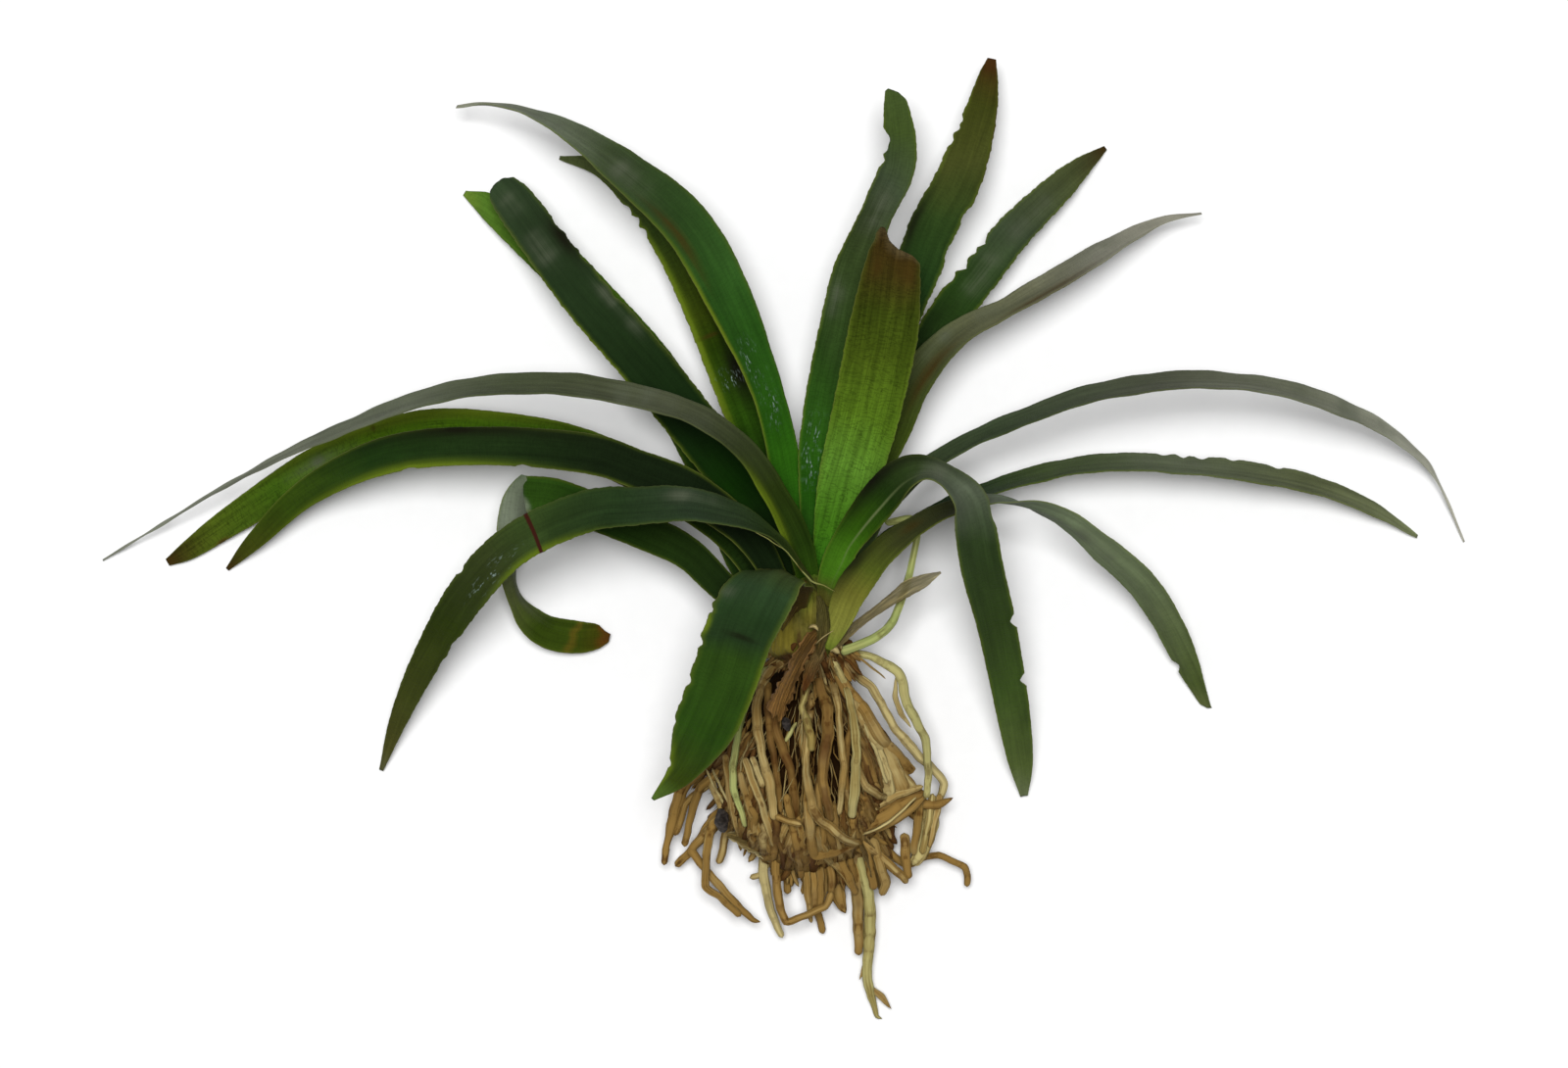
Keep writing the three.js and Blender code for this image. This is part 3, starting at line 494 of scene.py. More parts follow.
# The leaves that arch out to the right and come down to the table: the nearest rises steeply and falls
# over in front, the two long ones stand nearly on edge, and the drooping one wraps the crown with its
# pale base and twists over where it turns down.
grow_leaf(
    "leaf_right_arch", "leaf_deep", net=0.25, seed=7, cup=0.3, ragged=0.015,
    # The grey at 0.4 along, on the top of the arch, is a painted sheen.
    tones=[(0, "4a4318"), (0.025, "46481a"), (0.06, "416c16"), (0.12, "3e6a14"), (0.18, "33560f"),
           (0.26, "263f12"), (0.33, "2f401c"), (0.4, "5a6450"), (0.5, "2f4020"), (0.66, "30421a"),
           (0.8, "3b501f"), (0.93, "526230"), (1, "68724e")],
    bites=[(1, 61, 0.12, 2.4), (1, 86.6, 0.3, 1.7), (1, 102.2, 0.34, 1.5)],
    patches=[("sheen", 0.37, 0, 0.05, 0.9), ("keel", 0.2, 0, 0.1, 9), ("dark", 0.25, 0.9, 0.12, 0.5)],
    stations=[
        [8.2, -13.8, 27.6, 2, -5],
        [9, -9.4, 26, 4.6, -5],
        [10.8, -5, 23.8, 6.2, -6],
        [13.1, -0.4, 24, 6.2, -8],
        [18.5, 6.6, 32.6, 7.9, -14],
        [24.2, 12.2, 42.4, 8.2, -22],
        [30, 13.4, 46, 8, -55],
        [35, 10.2, 46, 8.4, -45],
        [38.1, 5, 43, 8.6, -15],
        [40.4, -6, 36, 8.6, 0],
        [43.2, -17, 28, 8, 0],
        [45.4, -28, 19, 7.4, 0],
        [46.8, -36, 13, 6.8, 0],
        [48.2, -45, 6, 5.2, 0],
        [49, -52.4, 1, 1.6, 0],
    ])
grow_leaf(
    "leaf_right_long", "leaf_grey", net=0.1, streaks=1.0, rim=0.15, seed=8, cup=0.2, ragged=0.015,
    # Its grey tones are a painted sheen, as the blade stands nearly on edge.
    tones=[(0, "moss"), (0.3, "sheen_steel"), (0.5, "4b4f3e"), (0.68, "686c58"), (0.82, "9a9c8a"), (1, "b2b0a2")],
    patches=[("sheen", 0.75, 0, 0.1, 1.5)],
    stations=[
        [12.4, -12.8, 19.4, 5, -40],
        [18, 3, 21, 6.5, -45],
        [25, 10.6, 21.6, 7, -58],
        [31, 15.6, 22, 7.4, -63],
        [40, 20.5, 24, 7.4, -63],
        [52, 25.5, 26, 7.4, -61],
        [64, 29.4, 27, 7.6, -60],
        [80, 31.8, 27, 8, -60],
        [96, 31.2, 24, 7.5, -61],
        [108, 28.4, 20, 7, -55],
        [120, 23.6, 14, 5, -50],
        [129, 17.2, 7, 3, -50],
        [133.2, 12, 4, 1.2, -45],
        [138.8, -0.6, 0.4, 0.5, -40],
    ])
grow_leaf(
    "leaf_right_low_long", "leaf_deep", net=0.15, streaks=1.0, rim=0.3, seed=9, cup=0.2, ragged=0.03,
    tones=[(0, "shade"), (0.28, "forest"), (0.4, "moss"), (0.6, "586148"), (0.8, "565d3d"), (1, "767e58")],
    bites=[(1, 79.6, 0.2, 1.6), (1, 83.4, 0.35, 1.2), (1, 87.4, 0.3, 1.4), (1, 94, 0.2, 1.2),
           (1, 104, 0.2, 1.6)],
    patches=[("sheen", 0.6, 0.2, 0.1, 0.6)],
    stations=[
        [11.4, -16.4, 17.4, 5, -35],
        [19.4, -2.8, 13, 6, -45],
        [28, 3, 12, 6.5, -55],
        [35, 7.2, 12, 7, -63],
        [41, 9.4, 12.5, 7, -65],
        [50, 12.3, 14, 6.9, -60],
        [60, 14.5, 15, 6.9, -58],
        [72, 15.2, 15, 7, -56],
        [84, 14.4, 14, 7.2, -56],
        [96, 13, 12, 7.5, -54],
        [108, 10.6, 8, 6.5, -52],
        [120, 6, 3.6, 4.5, -48],
        [129.2, 0.4, 0.6, 0.8, -40],
    ])
grow_leaf(
    "leaf_right_drooping", "leaf_deep", net=0.15, streaks=0.9, rim=0.35, seed=10, cup=0.2,
    tones=[(0, "73862c"), (0.04, "84863a"), (0.1, "6e6e2a"), (0.15, "566220"), (0.22, "3f4420"),
           (0.34, "33371f"), (0.42, "65715a"), (0.6, "6f7d5c"), (0.8, "5b6744"), (0.95, "4c5a2c"),
           (1, "5a6238")],
    patches=[("sheen", 0.6, 0, 0.12, 0.7), ("dark", 0.15, 1, 0.06, 0.7), ("brown", 0.26, 0.2, 0.03, 0.5)],
    bites=[(1, 109, 0.35, 1.4)],
    tip=[(-1, 0.6), (0.2, 0), (1, -1.2)],
    stations=[
        [8.8, -22.6, 27, 1.4, -10],
        [9.6, -20.4, 28.2, 3.8, -18],
        [11.6, -16, 28.8, 5.8, -22],
        [14.4, -10, 28.8, 7.4, -26],
        [20.6, -2.6, 28, 7.4, -42],
        [28, 2.8, 27.6, 7, -55],
        [35, 6, 27.2, 6.8, -63],
        [42, 7.6, 26.5, 7.2, -71],
        [46, 7.4, 26, 7, -82],
        [52, 6, 25.5, 7, -110],
        [58.4, 3, 24, 7, -123],
        [66, -3.2, 20, 7.2, -139],
        [73, -9.6, 15, 7, -149],
        [78, -17, 9.5, 6.6, -152],
        [81.6, -24.4, 5, 5.6, -156],
        [84.8, -31.2, 1.8, 3, -165],
        [86.4, -34.4, 0.8, 1.6, -175],
    ])

# The leaves that arch out to the left: one long grey leaf on edge, a pair that lie one on the other, one
# with a red-brown crease across it, and one that folds over at a sharp crease and curls back.
grow_leaf(
    "leaf_left_long", "leaf_grey", net=0.1, streaks=1.3, rim=0.1, seed=11, cup=0.2, ragged=0.01,
    # Its grey tones are a painted sheen, as the blade stands nearly on edge.
    tones=[(0, "2c480e"), (0.06, "20340a"), (0.12, "2a3810"), (0.2, "3c4428"), (0.28, "4b5038"),
           (0.45, "454d34"), (0.62, "5d6350"), (0.8, "6a6e5e"), (1, "7c7f70")],
    patches=[("sheen", 0.3, 0, 0.08, 1.5), ("sheen", 0.6, -0.4, 0.1, 0.6),
             ("yellow", 0.1, 0.9, 0.06, 0.45)],
    stations=[
        [5, -8.6, 22.8, 4.6, 15],
        [3, -1.2, 26, 6, 25],
        [-2.2, 9, 30, 7, 42],
        [-8.8, 18.4, 33, 7.4, 51],
        [-20.2, 25.8, 36, 7.6, 52],
        [-36, 29.8, 37, 7.8, 51],
        [-50, 31.3, 36, 7.7, 53],
        [-70, 29.3, 31, 6.8, 55],
        [-92, 21.4, 21, 4.4, 53],
        [-112, 11.8, 11, 1.6, 50],
        [-139, -4.4, 0.4, 0.5, 40],
    ])
grow_leaf(
    "leaf_left_arch", "leaf_deep", net=0.3, streaks=0.6, rim=0.2, seed=12, cup=0.2, ragged=0.03,
    tones=[(0, "55562c"), (0.05, "3c4c1c"), (0.12, "2a3a1c"), (0.24, "2d3c28"), (0.34, "25381c"),
           (0.46, "2a3c1a"), (0.5, "34461f"), (0.58, "333d1c"), (0.7, "2c390c"), (0.86, "3d4418"),
           (0.95, "4a4a20"), (1, "5a5a38")],
    bites=[(-1, 82.5, 0.14, 1.4), (1, 98.4, 0.14, 3), (1, 104, 0.1, 2)],
    patches=[("wet_glint", 0.58, 0.3, 0.04, 0.3), ("sheen", 0.24, -0.5, 0.05, 0.4),
             ("line", 0.484, 0, 0.0034, 9), ("yellow", 0.5, 1, 0.1, 0.3)],
    stations=[
        [6.4, -10, 28.4, 2.4, 75],
        [4, -6.6, 31, 3, 72],
        [-1, -0.6, 33.6, 4.6, 70],
        [-6.6, 3.2, 34.8, 6.4, 56],
        [-12, 5.2, 35.4, 7.4, 42],
        [-20, 6.8, 36.5, 8, 30],
        [-30, 6.4, 37.5, 8.6, 25],
        [-40, 5.4, 37, 9, 20],
        [-54.5, -1, 33, 8.6, 10],
        [-64.6, -11.2, 26, 8.2, 0],
        [-73.3, -25.4, 15, 6, 0],
        [-78.6, -36.8, 7, 3.8, 0],
        [-82.2, -47.2, 1, 0.9, 0],
    ])
grow_leaf(
    "leaf_left_pair_front", "leaf_deep", net=0.35, streaks=0.6, rim=0.5, seed=13, cup=0.25, ragged=0.012,
    tones=[(0, "night"), (0.2, "14200e"), (0.35, "16220f"), (0.55, "1f3214"), (0.7, "1e3610"),
           (0.85, "33480e"), (0.97, "404510"), (1, "3a2d10")],
    bites=[(1, 65.8, 0.12, 1.6), (1, 90.3, 0.1, 2)],
    patches=[("brown", 1, 0, 0.02, 2), ("yellow", 0.68, 1.05, 0.2, 0.45), ("dark", 0.55, -0.9, 0.15, 0.4)],
    stations=[
        [0.6, -13, 21.6, 5, 25],
        [-7, 0, 22.5, 7, 25],
        [-19, 9.4, 25, 8.5, 20],
        [-30, 14, 26, 8.2, 15],
        [-40, 17.2, 26, 8.4, 12],
        [-60, 18.8, 24, 8, 10],
        [-80, 17.2, 19, 7.8, 8],
        [-96.4, 10, 10.6, 6, 5],
        [-107.6, 0, 4.4, 3.8, 0],
        [-113.6, -6.2, 0.7, 0.8, 0],
    ])
grow_leaf(
    "leaf_left_pair_back", "leaf_bright", net=0.8, streaks=0.6, rim=0.5, seed=14, cup=0.2, ragged=0.012,
    tones=[(0, "night"), (0.3, "22380c"), (0.46, "33500c"), (0.55, "3f600c"), (0.66, "4a6a10"),
           (0.74, "506c1e"), (0.82, "3c5a12"), (0.92, "4e6018"), (1, "3a2d10")],
    patches=[("brown", 0.657, -0.7, 0.005, 0.2), ("brown", 0.92, 0.9, 0.015, 0.3),
             ("brown", 1, 0, 0.02, 2), ("yellow", 0.62, -1, 0.2, 0.5), ("sheen", 0.74, -0.2, 0.05, 0.4)],
    stations=[
        [-0.8, -17, 18.2, 5, 20],
        [-9, -2, 17, 6.5, 20],
        [-22, 8.6, 18, 7.2, 15],
        [-40, 18, 18.5, 8.2, 10],
        [-60, 21.8, 17, 8.6, 8],
        [-76, 21.4, 12, 9, 8],
        [-94, 15.2, 6.4, 8.4, 5],
        [-112, 4.2, 2, 6.2, 0],
        [-121, -2, 1.2, 4.2, 0],
        [-125.8, -4.8, 0.8, 1.6, 0],
    ])
grow_leaf(
    "leaf_left_hooked", "leaf_deep", net=0.3, streaks=0.5, rim=0.4, seed=15, cup=0.15, ragged=0.015,
    tones=[(0, "night"), (0.3, "20330f"), (0.45, "223c10"), (0.55, "2b4812"), (0.565, "6c7660"),
           (0.64, "848e78"), (0.74, "707a52"), (0.79, "5e6836"), (0.83, "505c2a"), (0.88, "34450f"),
           (0.925, "374810"), (0.935, "5e5418"), (0.945, "3a460e"), (0.975, "42430e"), (0.99, "5a3e12"),
           (1, "5a3a12")],
    shares=(0, 0.56),
    tip=[(-1, 0.9), (0, 0.4), (1, -0.7)],
    stations=[
        [-0.6, -21, 22.6, 5, 20],
        [-12.6, -9.8, 19.6, 6.2, 12],
        [-19.8, -2.9, 18.5, 6.9, 10],
        [-28, 1.2, 19, 7.6, 10],
        [-38, 5.2, 20, 7.8, 12],
        [-46.6, 8.4, 20.4, 7.8, 12],
        [-52.8, 9.2, 20, 7.4, 10],
    ],
    folded={
        "shares": (0.56, 1),
        "cup": 0.25,
        "tip": [(-1, -2), (0, 0), (1, -0.6)],
        "stations": [
            [-53.1, 13, 20.6, 1, 165],
            [-53.8, 10.8, 20, 3.8, 160],
            [-54.6, 8, 18.4, 5.8, 155],
            [-55.1, 4, 15.6, 6.9, 146],
            [-55.4, 0, 12.6, 7, 138],
            [-55.7, -6, 9, 6.6, 120],
            [-55.2, -9.8, 7.4, 6.4, 110],
            [-54, -13, 6, 6.6, 118],
            [-51.6, -16.2, 5, 7, 140],
            [-48, -18.8, 4, 7.2, 158],
            [-43, -19.9, 3.2, 7, 170],
            [-38.6, -19.9, 2.4, 5.6, 176],
            [-35.4, -19.4, 2, 2.4, 180],
        ],
    })

# The leaves that fan out at the upper left: a very dark blunt one over a lighter one, and a broad one
# that turns on edge towards its tip, with another under it.
grow_leaf(
    "leaf_upper_left_front", "leaf_deep", net=0.15, streaks=0.5, rim=0.35, seed=16, cup=0.12, ragged=0.03,
    tones=[(0, "night"), (0.25, "0f2a05"), (0.4, "13260c"), (0.6, "1c2d14"), (0.8, "24351c"),
           (1, "33442a")],
    bites=[(-1, 92, 0.12, 2), (-1, 87, 0.1, 2.4), (-1, 82.6, 0.16, 2), (-1, 77, 0.1, 2.6),
           (-1, 72, 0.14, 2.4)],
    patches=[("sheen", 0.84, 0.2, 0.05, 0.6), ("sheen", 0.66, -0.7, 0.08, 0.3),
             ("sheen", 0.95, 0.2, 0.03, 0.7), ("dark", 0.83, -0.8, 0.06, 0.4),
             ("yellow", 0.6, 1.05, 0.3, 0.12)],
    tip=[(-1, -0.8), (-0.5, 0.8), (0.2, 1), (0.7, 0.4), (1, -1)],
    stations=[
        [0.6, -12.6, 19, 4.6, 30],
        [-3.6, 4, 19.4, 8, 20],
        [-12, 15, 20, 10, 10],
        [-20, 25.2, 20.5, 10.5, 5],
        [-28, 35.2, 20, 10.4, 0],
        [-40, 49, 18, 10.2, 0],
        [-49.8, 61.6, 14, 9.2, 0],
        [-55, 68.6, 11, 8.4, 0],
        [-58, 72, 9, 6.4, 0],
    ])
grow_leaf(
    "leaf_upper_left_back", "leaf_bright", net=0.3, streaks=0.5, rim=0.3, seed=17, cup=0.12,
    tones=[(0, "shade"), (0.5, "2a4a10"), (0.8, "45681a"), (0.95, "557a28"), (1, "66802c")],
    stations=[
        [-0.2, -17, 14.8, 5, 10],
        [-8, -5, 12, 7, 0],
        [-12.6, 8.4, 11, 8.6, 0],
        [-17.8, 20.4, 10, 9.4, 0],
        [-26, 34.4, 9, 9, 0],
        [-37.6, 47.6, 7.5, 9, 0],
        [-49.8, 59.8, 5, 9, 0],
        [-59.4, 67.4, 2.5, 6, 0],
        [-65.2, 70.6, 0.7, 1.2, 0],
    ])
grow_leaf(
    "leaf_top_left_broad", "leaf_deep", net=0.25, streaks=0.5, rim=0.35, seed=18, cup=0.2, ragged=0.012,
    # Its grey tones towards the tip are a painted sheen, where the blade turns on edge.
    tones=[(0, "fresh"), (0.2, "2c5e10"), (0.38, "285016"), (0.5, "2e511e"), (0.62, "2e4420"),
           (0.74, "3c4a2c"), (0.84, "667058"), (1, "9c9e88")],
    patches=[("wet_glint", 0.34, 0.2, 0.03, 0.35), ("wet_glint", 0.28, 0, 0.025, 0.35),
             ("sheen", 0.69, 0.1, 0.05, 0.7), ("sheen", 0.86, 0, 0.09, 0.9),
             ("brown", 0.56, 0.5, 0.1, 0.3), ("yellow", 0.4, 1, 0.2, 0.15)],
    stations=[
        [2.4, -10, 15.2, 4.6, 5],
        [1, 10, 15.6, 6.4, 10],
        [-3.7, 30, 19.5, 7.6, 30],
        [-11.9, 49.8, 23, 10.1, 16],
        [-19.9, 63.7, 24, 10.5, 15],
        [-31.6, 74.1, 23, 10, 33],
        [-43.5, 82.6, 20, 8, 53],
        [-52, 86.8, 16, 5.4, 66],
        [-60, 88.6, 12, 2.6, 75],
        [-66.8, 88.2, 8, 1, 40],
    ])
grow_leaf(
    "leaf_top_left_under", "leaf_deep", net=0.5, streaks=0.7, rim=0.6, seed=19, cup=0.15, ragged=0.03,
    tones=[(0, "shade"), (0.35, "2a4a0c"), (0.5, "2a4008"), (0.56, "3b4a0e"), (0.75, "36481a"),
           (1, "566038")],
    bites=[(1, 90.5, 0.2, 1.6), (1, 87.4, 0.26, 1.4), (1, 84, 0.2, 1.4)],
    patches=[("brown", 0.522, 0.3, 0.006, 0.7), ("wet_glint", 0.435, 0.3, 0.012, 0.5),
             ("yellow", 0.5, 1, 0.3, 0.3), ("dark", 0.44, -0.3, 0.06, 0.5)],
    stations=[
        [4, -12.5, 13.4, 4.5, 0],
        [-1, 8, 12, 8, 5],
        [-8.8, 29, 11.5, 9.6, 5],
        [-15.6, 46, 10.5, 9.2, 5],
        [-22, 59, 9, 8.2, 5],
        [-29, 69, 6.5, 7.2, 0],
        [-37, 75.6, 3.5, 4.2, 0],
        [-45.8, 77.8, 0.8, 0.8, 0],
    ])

# The broad leaf that folds over towards the front and hangs down across the roots. Its end is cut off at
# a slant and browned there, a strip along its left margin runs on to a point, and its margin is nibbled.
grow_leaf(
    "leaf_front_flap", "leaf_deep", net=0.2, streaks=0.6, rim=0.45, seed=20, cup=-0.2, ragged=0.015,
    tones=[(0, "4a3c1a"), (0.17, "443818"), (0.26, "33401e"), (0.33, "2d4326"), (0.42, "243a1c"),
           (0.49, "22351a"), (0.54, "2b4414"), (0.75, "2c4a12"), (0.92, "35440f"), (1, "55702a")],
    bites=[(-1, 30.4, 0.05, 1.6), (-1, 33.6, 0.12, 0.9), (-1, 36.4, 0.05, 2), (-1, 40.2, 0.13, 1.2),
           (-1, 43, 0.06, 2), (-1, 48.8, 0.11, 1.4), (-1, 53.4, 0.05, 1.6), (-1, 58.8, 0.07, 1),
           (-1, 68.4, 0.2, 1.2)],
    patches=[("sheen", 0.37, -0.8, 0.03, 0.3), ("dark", 0.474, 0.1, 0.007, 0.4),
             ("yellow", 0.47, -1, 0.03, 0.15), ("yellow", 0.9, -0.9, 0.08, 0.3),
             ("yellow", 0.6, 1.05, 0.15, 0.16), ("brown", 0.93, 1, 0.07, 0.12)],
    stations=[
        [2.6, -15.8, 26, 3, 180],
        [2.6, -10.8, 32.4, 6, 170],
        [1.8, -8.4, 37, 9.6, 130],
        [-0.9, -6.6, 41.4, 13.6, 80],
        [-4.2, -9, 44.5, 15, 30],
        [-8.8, -18, 48.5, 14.2, 0],
        [-12.8, -30, 48, 13.4, 0],
        [-16.8, -39.4, 45, 12.2, 0],
        [-21.2, -47.8, 40, 6, 0],
        [-26.8, -53.2, 36, 0.8, 0],
    ])

# Roots: fleshy tan tubes, a little flattened, furrowed lengthwise and kinked where they were bent. They
# leave the underside of the crown and lie over the bundle. Young ones are pale or yellow-green, dead ones
# brown.
MAT_MIDDLE = (4, -46)  # mm, x and y
MAT_HALF = (19, 22)  # mm, half widths along x and y
MAT_HEIGHT = 24  # mm, of its dome
MAT_RIM = 3  # mm, its least height inside the rim
MAT_LUMP = 0.8  # mm, of the small lumps on it
ROOT_LAYER = 2.7  # mm, from one layer of roots to the next
ROOT_SIDES = 16  # points in a ring round a root
ROOT_ROW = 0.4  # mm from one ring of points to the next
ROOT_STRAIGHT = 0.55  # how straight a root runs from station to station
ROOT_TAN = "7f6434"
ROOT_CREAM = "a69868"
ROOT_BROWN = "4c3218"
ROOT_GREEN = "8a9c58"
ROOT_STAIN = "462b0f"
SOIL_AND_SHADE = "0c0704"


def mat_height(x, y):
    """The height of the root mat: a dome that is flat in the middle and steep at its rim, with small
    lumps."""
    reach = np.hypot((x - MAT_MIDDLE[0]) / MAT_HALF[0], (y - MAT_MIDDLE[1]) / MAT_HALF[1])
    dome = MAT_HEIGHT * np.sqrt(np.maximum(1 - reach ** 3, 0))
    lumps = MAT_LUMP * np.sin(0.9 * x) * np.cos(0.7 * y)
    return np.where(reach < 1, np.maximum(dome + lumps, MAT_RIM), 0)


def tube(stations, layer=None, tints=(0, 0, 0), flat=0.85, lumpy=0.07, wavy=0.12, seed=1, sides=ROOT_SIDES,
         step=ROOT_ROW):
    """A root's closed skin: a ring of points carried along the stations [x, y, height, radius], almost
    straight from one to the next. Its radius swells and shrinks along the root and falls to a rounded
    end, and furrows run along it. On a layer, or one for each station, it lies over the mat. tints are
    how brown, pale and green it is."""
    dice = np.random.default_rng(seed)
    stations = np.array(stations, float)
    knots = np.arange(len(stations))
    at = np.linspace(0, knots[-1], CURVE_POINTS)
    form = (1 - ROOT_STRAIGHT) * smooth(stations) + ROOT_STRAIGHT * read_along(stations, knots, at)
    line, radius = form[:, :3], form[:, 3]
    if layer is not None:
        levels = np.interp(at, knots, np.broadcast_to(layer, knots.shape))
        over = mat_height(line[:, 0], line[:, 1]) + radius + 1 + levels * ROOT_LAYER
        line[:, 2] = np.maximum(line[:, 2], over) if np.ndim(layer) == 0 else over
    line = sighted(line)
    run = travelled(line)
    rows = max(6, int(run[-1] / step))
    along = np.linspace(0, run[-1], rows)
    middle = read_along(line, run, along)
    ahead = unit(np.gradient(middle, axis=0))
    side = unit(np.cross([0, 0, 1], ahead))
    lift = np.cross(ahead, side)
    middle += side * (wavy * swell(along, (13, 7, 4.1), dice))[:, None]
    left = run[-1] - along
    rounded = np.sqrt(np.clip(np.minimum(along, left) / 0.6, 0.02, 1))
    girth = np.interp(along, run, radius) * rounded * (1 + lumpy * swell(along, (15, 6.3, 2.9), dice))
    turn = np.linspace(0, 2 * np.pi, sides, endpoint=False)[None, :]
    twist = 2 * swell(along, (31, 17), dice)[:, None] + 6 * dice.random()
    furrows = 1 + 0.05 * np.cos(3 * turn + twist) + 0.06 * np.cos(5 * turn - 2 * twist)
    out = girth[:, None] * furrows
    rings = (middle[:, None] + side[:, None] * (out * np.cos(turn))[..., None]
             + lift[:, None] * (out * flat * np.sin(turn))[..., None])
    rings[..., 2] = np.maximum(rings[..., 2], TABLE_GAP)
    grid = np.ones_like(out)
    return rings, {
        "root": np.stack([grid * turn / (2 * np.pi), grid * along[:, None] * 0.1, grid * seed], axis=-1),
        "tint": np.array(tints, float),
    }


def root_tissue(start):
    """Tan with lengthwise lines and brown stains. The mesh holds how brown, pale and green it is. Soil is
    twice as brown as the brownest root, and so near black that it is also painted shade."""
    mark, tint = start.mark("root"), start.mark("tint")
    turn = mark.part(0) * (2 * np.pi)
    place = mark.node("ShaderNodeCombineXYZ", values={
        0: turn.maths("SINE", turn), 1: mark.part(1), 2: mark.part(2) * 0.37})
    lines = place.stretched((4.5, 0.7, 9)).noise(1.0, 4)
    clouds = place.stretched((0.7, 1.3, 5)).noise(1.0, 3)
    stains = place.stretched((1.4, 3.1, 7)).noise(1.0, 4, 0.6)
    # Lengthwise lines turn the tissue pale and brighter: partly fibres, partly painted highlights along the
    # ridges.
    pale = (tint.part(1) + (lines - 0.5) * 1.3 + (clouds - 0.5)).between(0.1, 0.95)
    brown = (tint.part(0) + (clouds - 0.5) * 1.8).between(0.15, 0.95)
    tissue = pale.blend(tone(ROOT_TAN), tone(ROOT_CREAM))
    tissue = (tint.part(2) * (0.4 + clouds)).blend(tissue, tone(ROOT_GREEN))
    tissue = brown.blend(tissue, tone(ROOT_BROWN))
    tissue = (stains.between(0.53, 0.68) * (0.8 - pale * 0.35)).blend(tissue, tone(ROOT_STAIN))
    tissue = tissue.scaled(0.5 + lines * 0.95)
    # Near-black soil, which also stands as painted shade in the hollow of the bundle.
    tissue = tint.part(0).between(1.2, 2).blend(tissue, tone(SOIL_AND_SHADE))
    roughness = 0.6 - (lines - 0.5) * 0.4 + tint.part(0).between(1, 1.8) * 0.3
    return tissue, roughness, lines + stains * 0.25, 0.0004


root_finish = material_of("root_tissue", root_tissue, **{"Specular IOR Level": 0.03})


def grow_root(node, layer, stations, tints=(0, 0, 0), slot="root", branches=(), **shape):
    """One root and its branches, each a (stations, tints, flatness)."""
    seed = sum(ord(letter) for letter in node) % 97
    skins = [tube(stations, layer, tints, seed=seed, **shape)]
    for k, (branch, branch_tints, branch_flat) in enumerate(branches):
        skins.append(tube(branch, layer, branch_tints, branch_flat, seed=seed + k + 1))
    dress(closed_skins(node + "_tube", skins), root_finish, node)


grow_root("root_main_left", 1, [
    [2, -24, 22.6, 1.1],
    [-2.4, -26.6, 19, 1],
    [-4.6, -30, 17, 0.9],
    [-5.6, -34.4, 14, 0.95],
    [-5.4, -39, 14, 1.05],
    [-4.4, -44.4, 14, 0.85],
    [-2.8, -50, 14, 1],
    [-2, -57.4, 14, 0.9],
], (0, 0.45, 0))
grow_root("root_pale_left", 1, [
    [0, -22, 18, 0.9],
    [-7, -31, 14, 0.8],
    [-9.4, -40, 12, 0.7],
    [-10.4, -46.6, 12, 0.75],
    [-10.2, -51, 12, 0.75],
    [-9.2, -54.6, 12, 0.65],
    [-7.8, -58.8, 12, 0.45],
], (0, 0.9, 0.7), "pale_root", flat=1)
grow_root("root_sheath", 0, [
    [4, -25, 19.6, 1.1],
    [0, -31, 18, 1.2],
    [-1.8, -38, 18, 1],
    [-0.4, -42.4, 18, 1],
    [1.4, -47.4, 18, 0.9],
    [2.2, -53, 18, 0.9],
    [2.6, -60, 16, 0.8],
], (0.45, 0, 0))
grow_root("root_inner_pale", 0, [
    [6.4, -25, 19.6, 0.7],
    [5, -30.6, 18, 0.6],
    [3.5, -34.2, 18, 0.7],
    [4.6, -37, 18, 0.85],
    [5.5, -40.4, 18, 0.85],
    [5.7, -43.4, 18, 0.7],
], (0.2, 0.3, 0.2), "pale_root")
grow_root("root_front_long", [-1.5, -1.2, 0.8, 2, 2, 2, 2, 2, 2], [
    [6.8, -24.6, 25.4, 0.9],
    [5, -38, 22, 0.9],
    [4.4, -47, 22, 0.8],
    [5, -51, 22, 0.9],
    [6, -55, 21.4, 1],
    [7.4, -57.4, 20.6, 1],
    [9.4, -58.8, 20, 0.9],
    [12, -61, 19, 0.9],
    [15, -62.2, 18, 0.8],
], (0.15, 0.35, 0))
grow_root("root_elbow", [-1.5, -1.2, 0.2, 1, 1, 1.2, 1.2, 1.2], [
    [5, -25, 22.6, 0.9],
    [3.6, -38, 20, 0.9],
    [4.8, -49, 18, 0.9],
    [5, -56, 16, 1],
    [5.6, -62, 15, 1],
    [6.4, -64.6, 14, 0.9],
    [10, -64.2, 13, 0.85],
    [14.6, -62.4, 13, 0.75],
], (0.25, 0.2, 0))
grow_root("root_right_1", 1, [
    [6, -25, 22.6, 0.8],
    [7.6, -31, 20, 1],
    [8.8, -34.6, 20, 1.2],
    [9, -39.4, 20, 1.25],
    [8.2, -44, 20, 1.15],
    [7.8, -48, 20, 1.1],
    [8.6, -53.4, 18, 1],
    [9.6, -57.6, 15.4, 0.8],
], (0.5, 0.1, 0))
grow_root("root_right_2", 0.5, [
    [8.4, -25.4, 19.6, 0.8],
    [10, -29.4, 18, 0.9],
    [11, -34, 18, 0.75],
    [11.5, -40, 18, 0.7],
    [12.2, -46.4, 18, 0.85],
    [11.8, -51, 18, 0.7],
    [11.2, -56.4, 16, 0.6],
], (0.25, 0.45, 0))
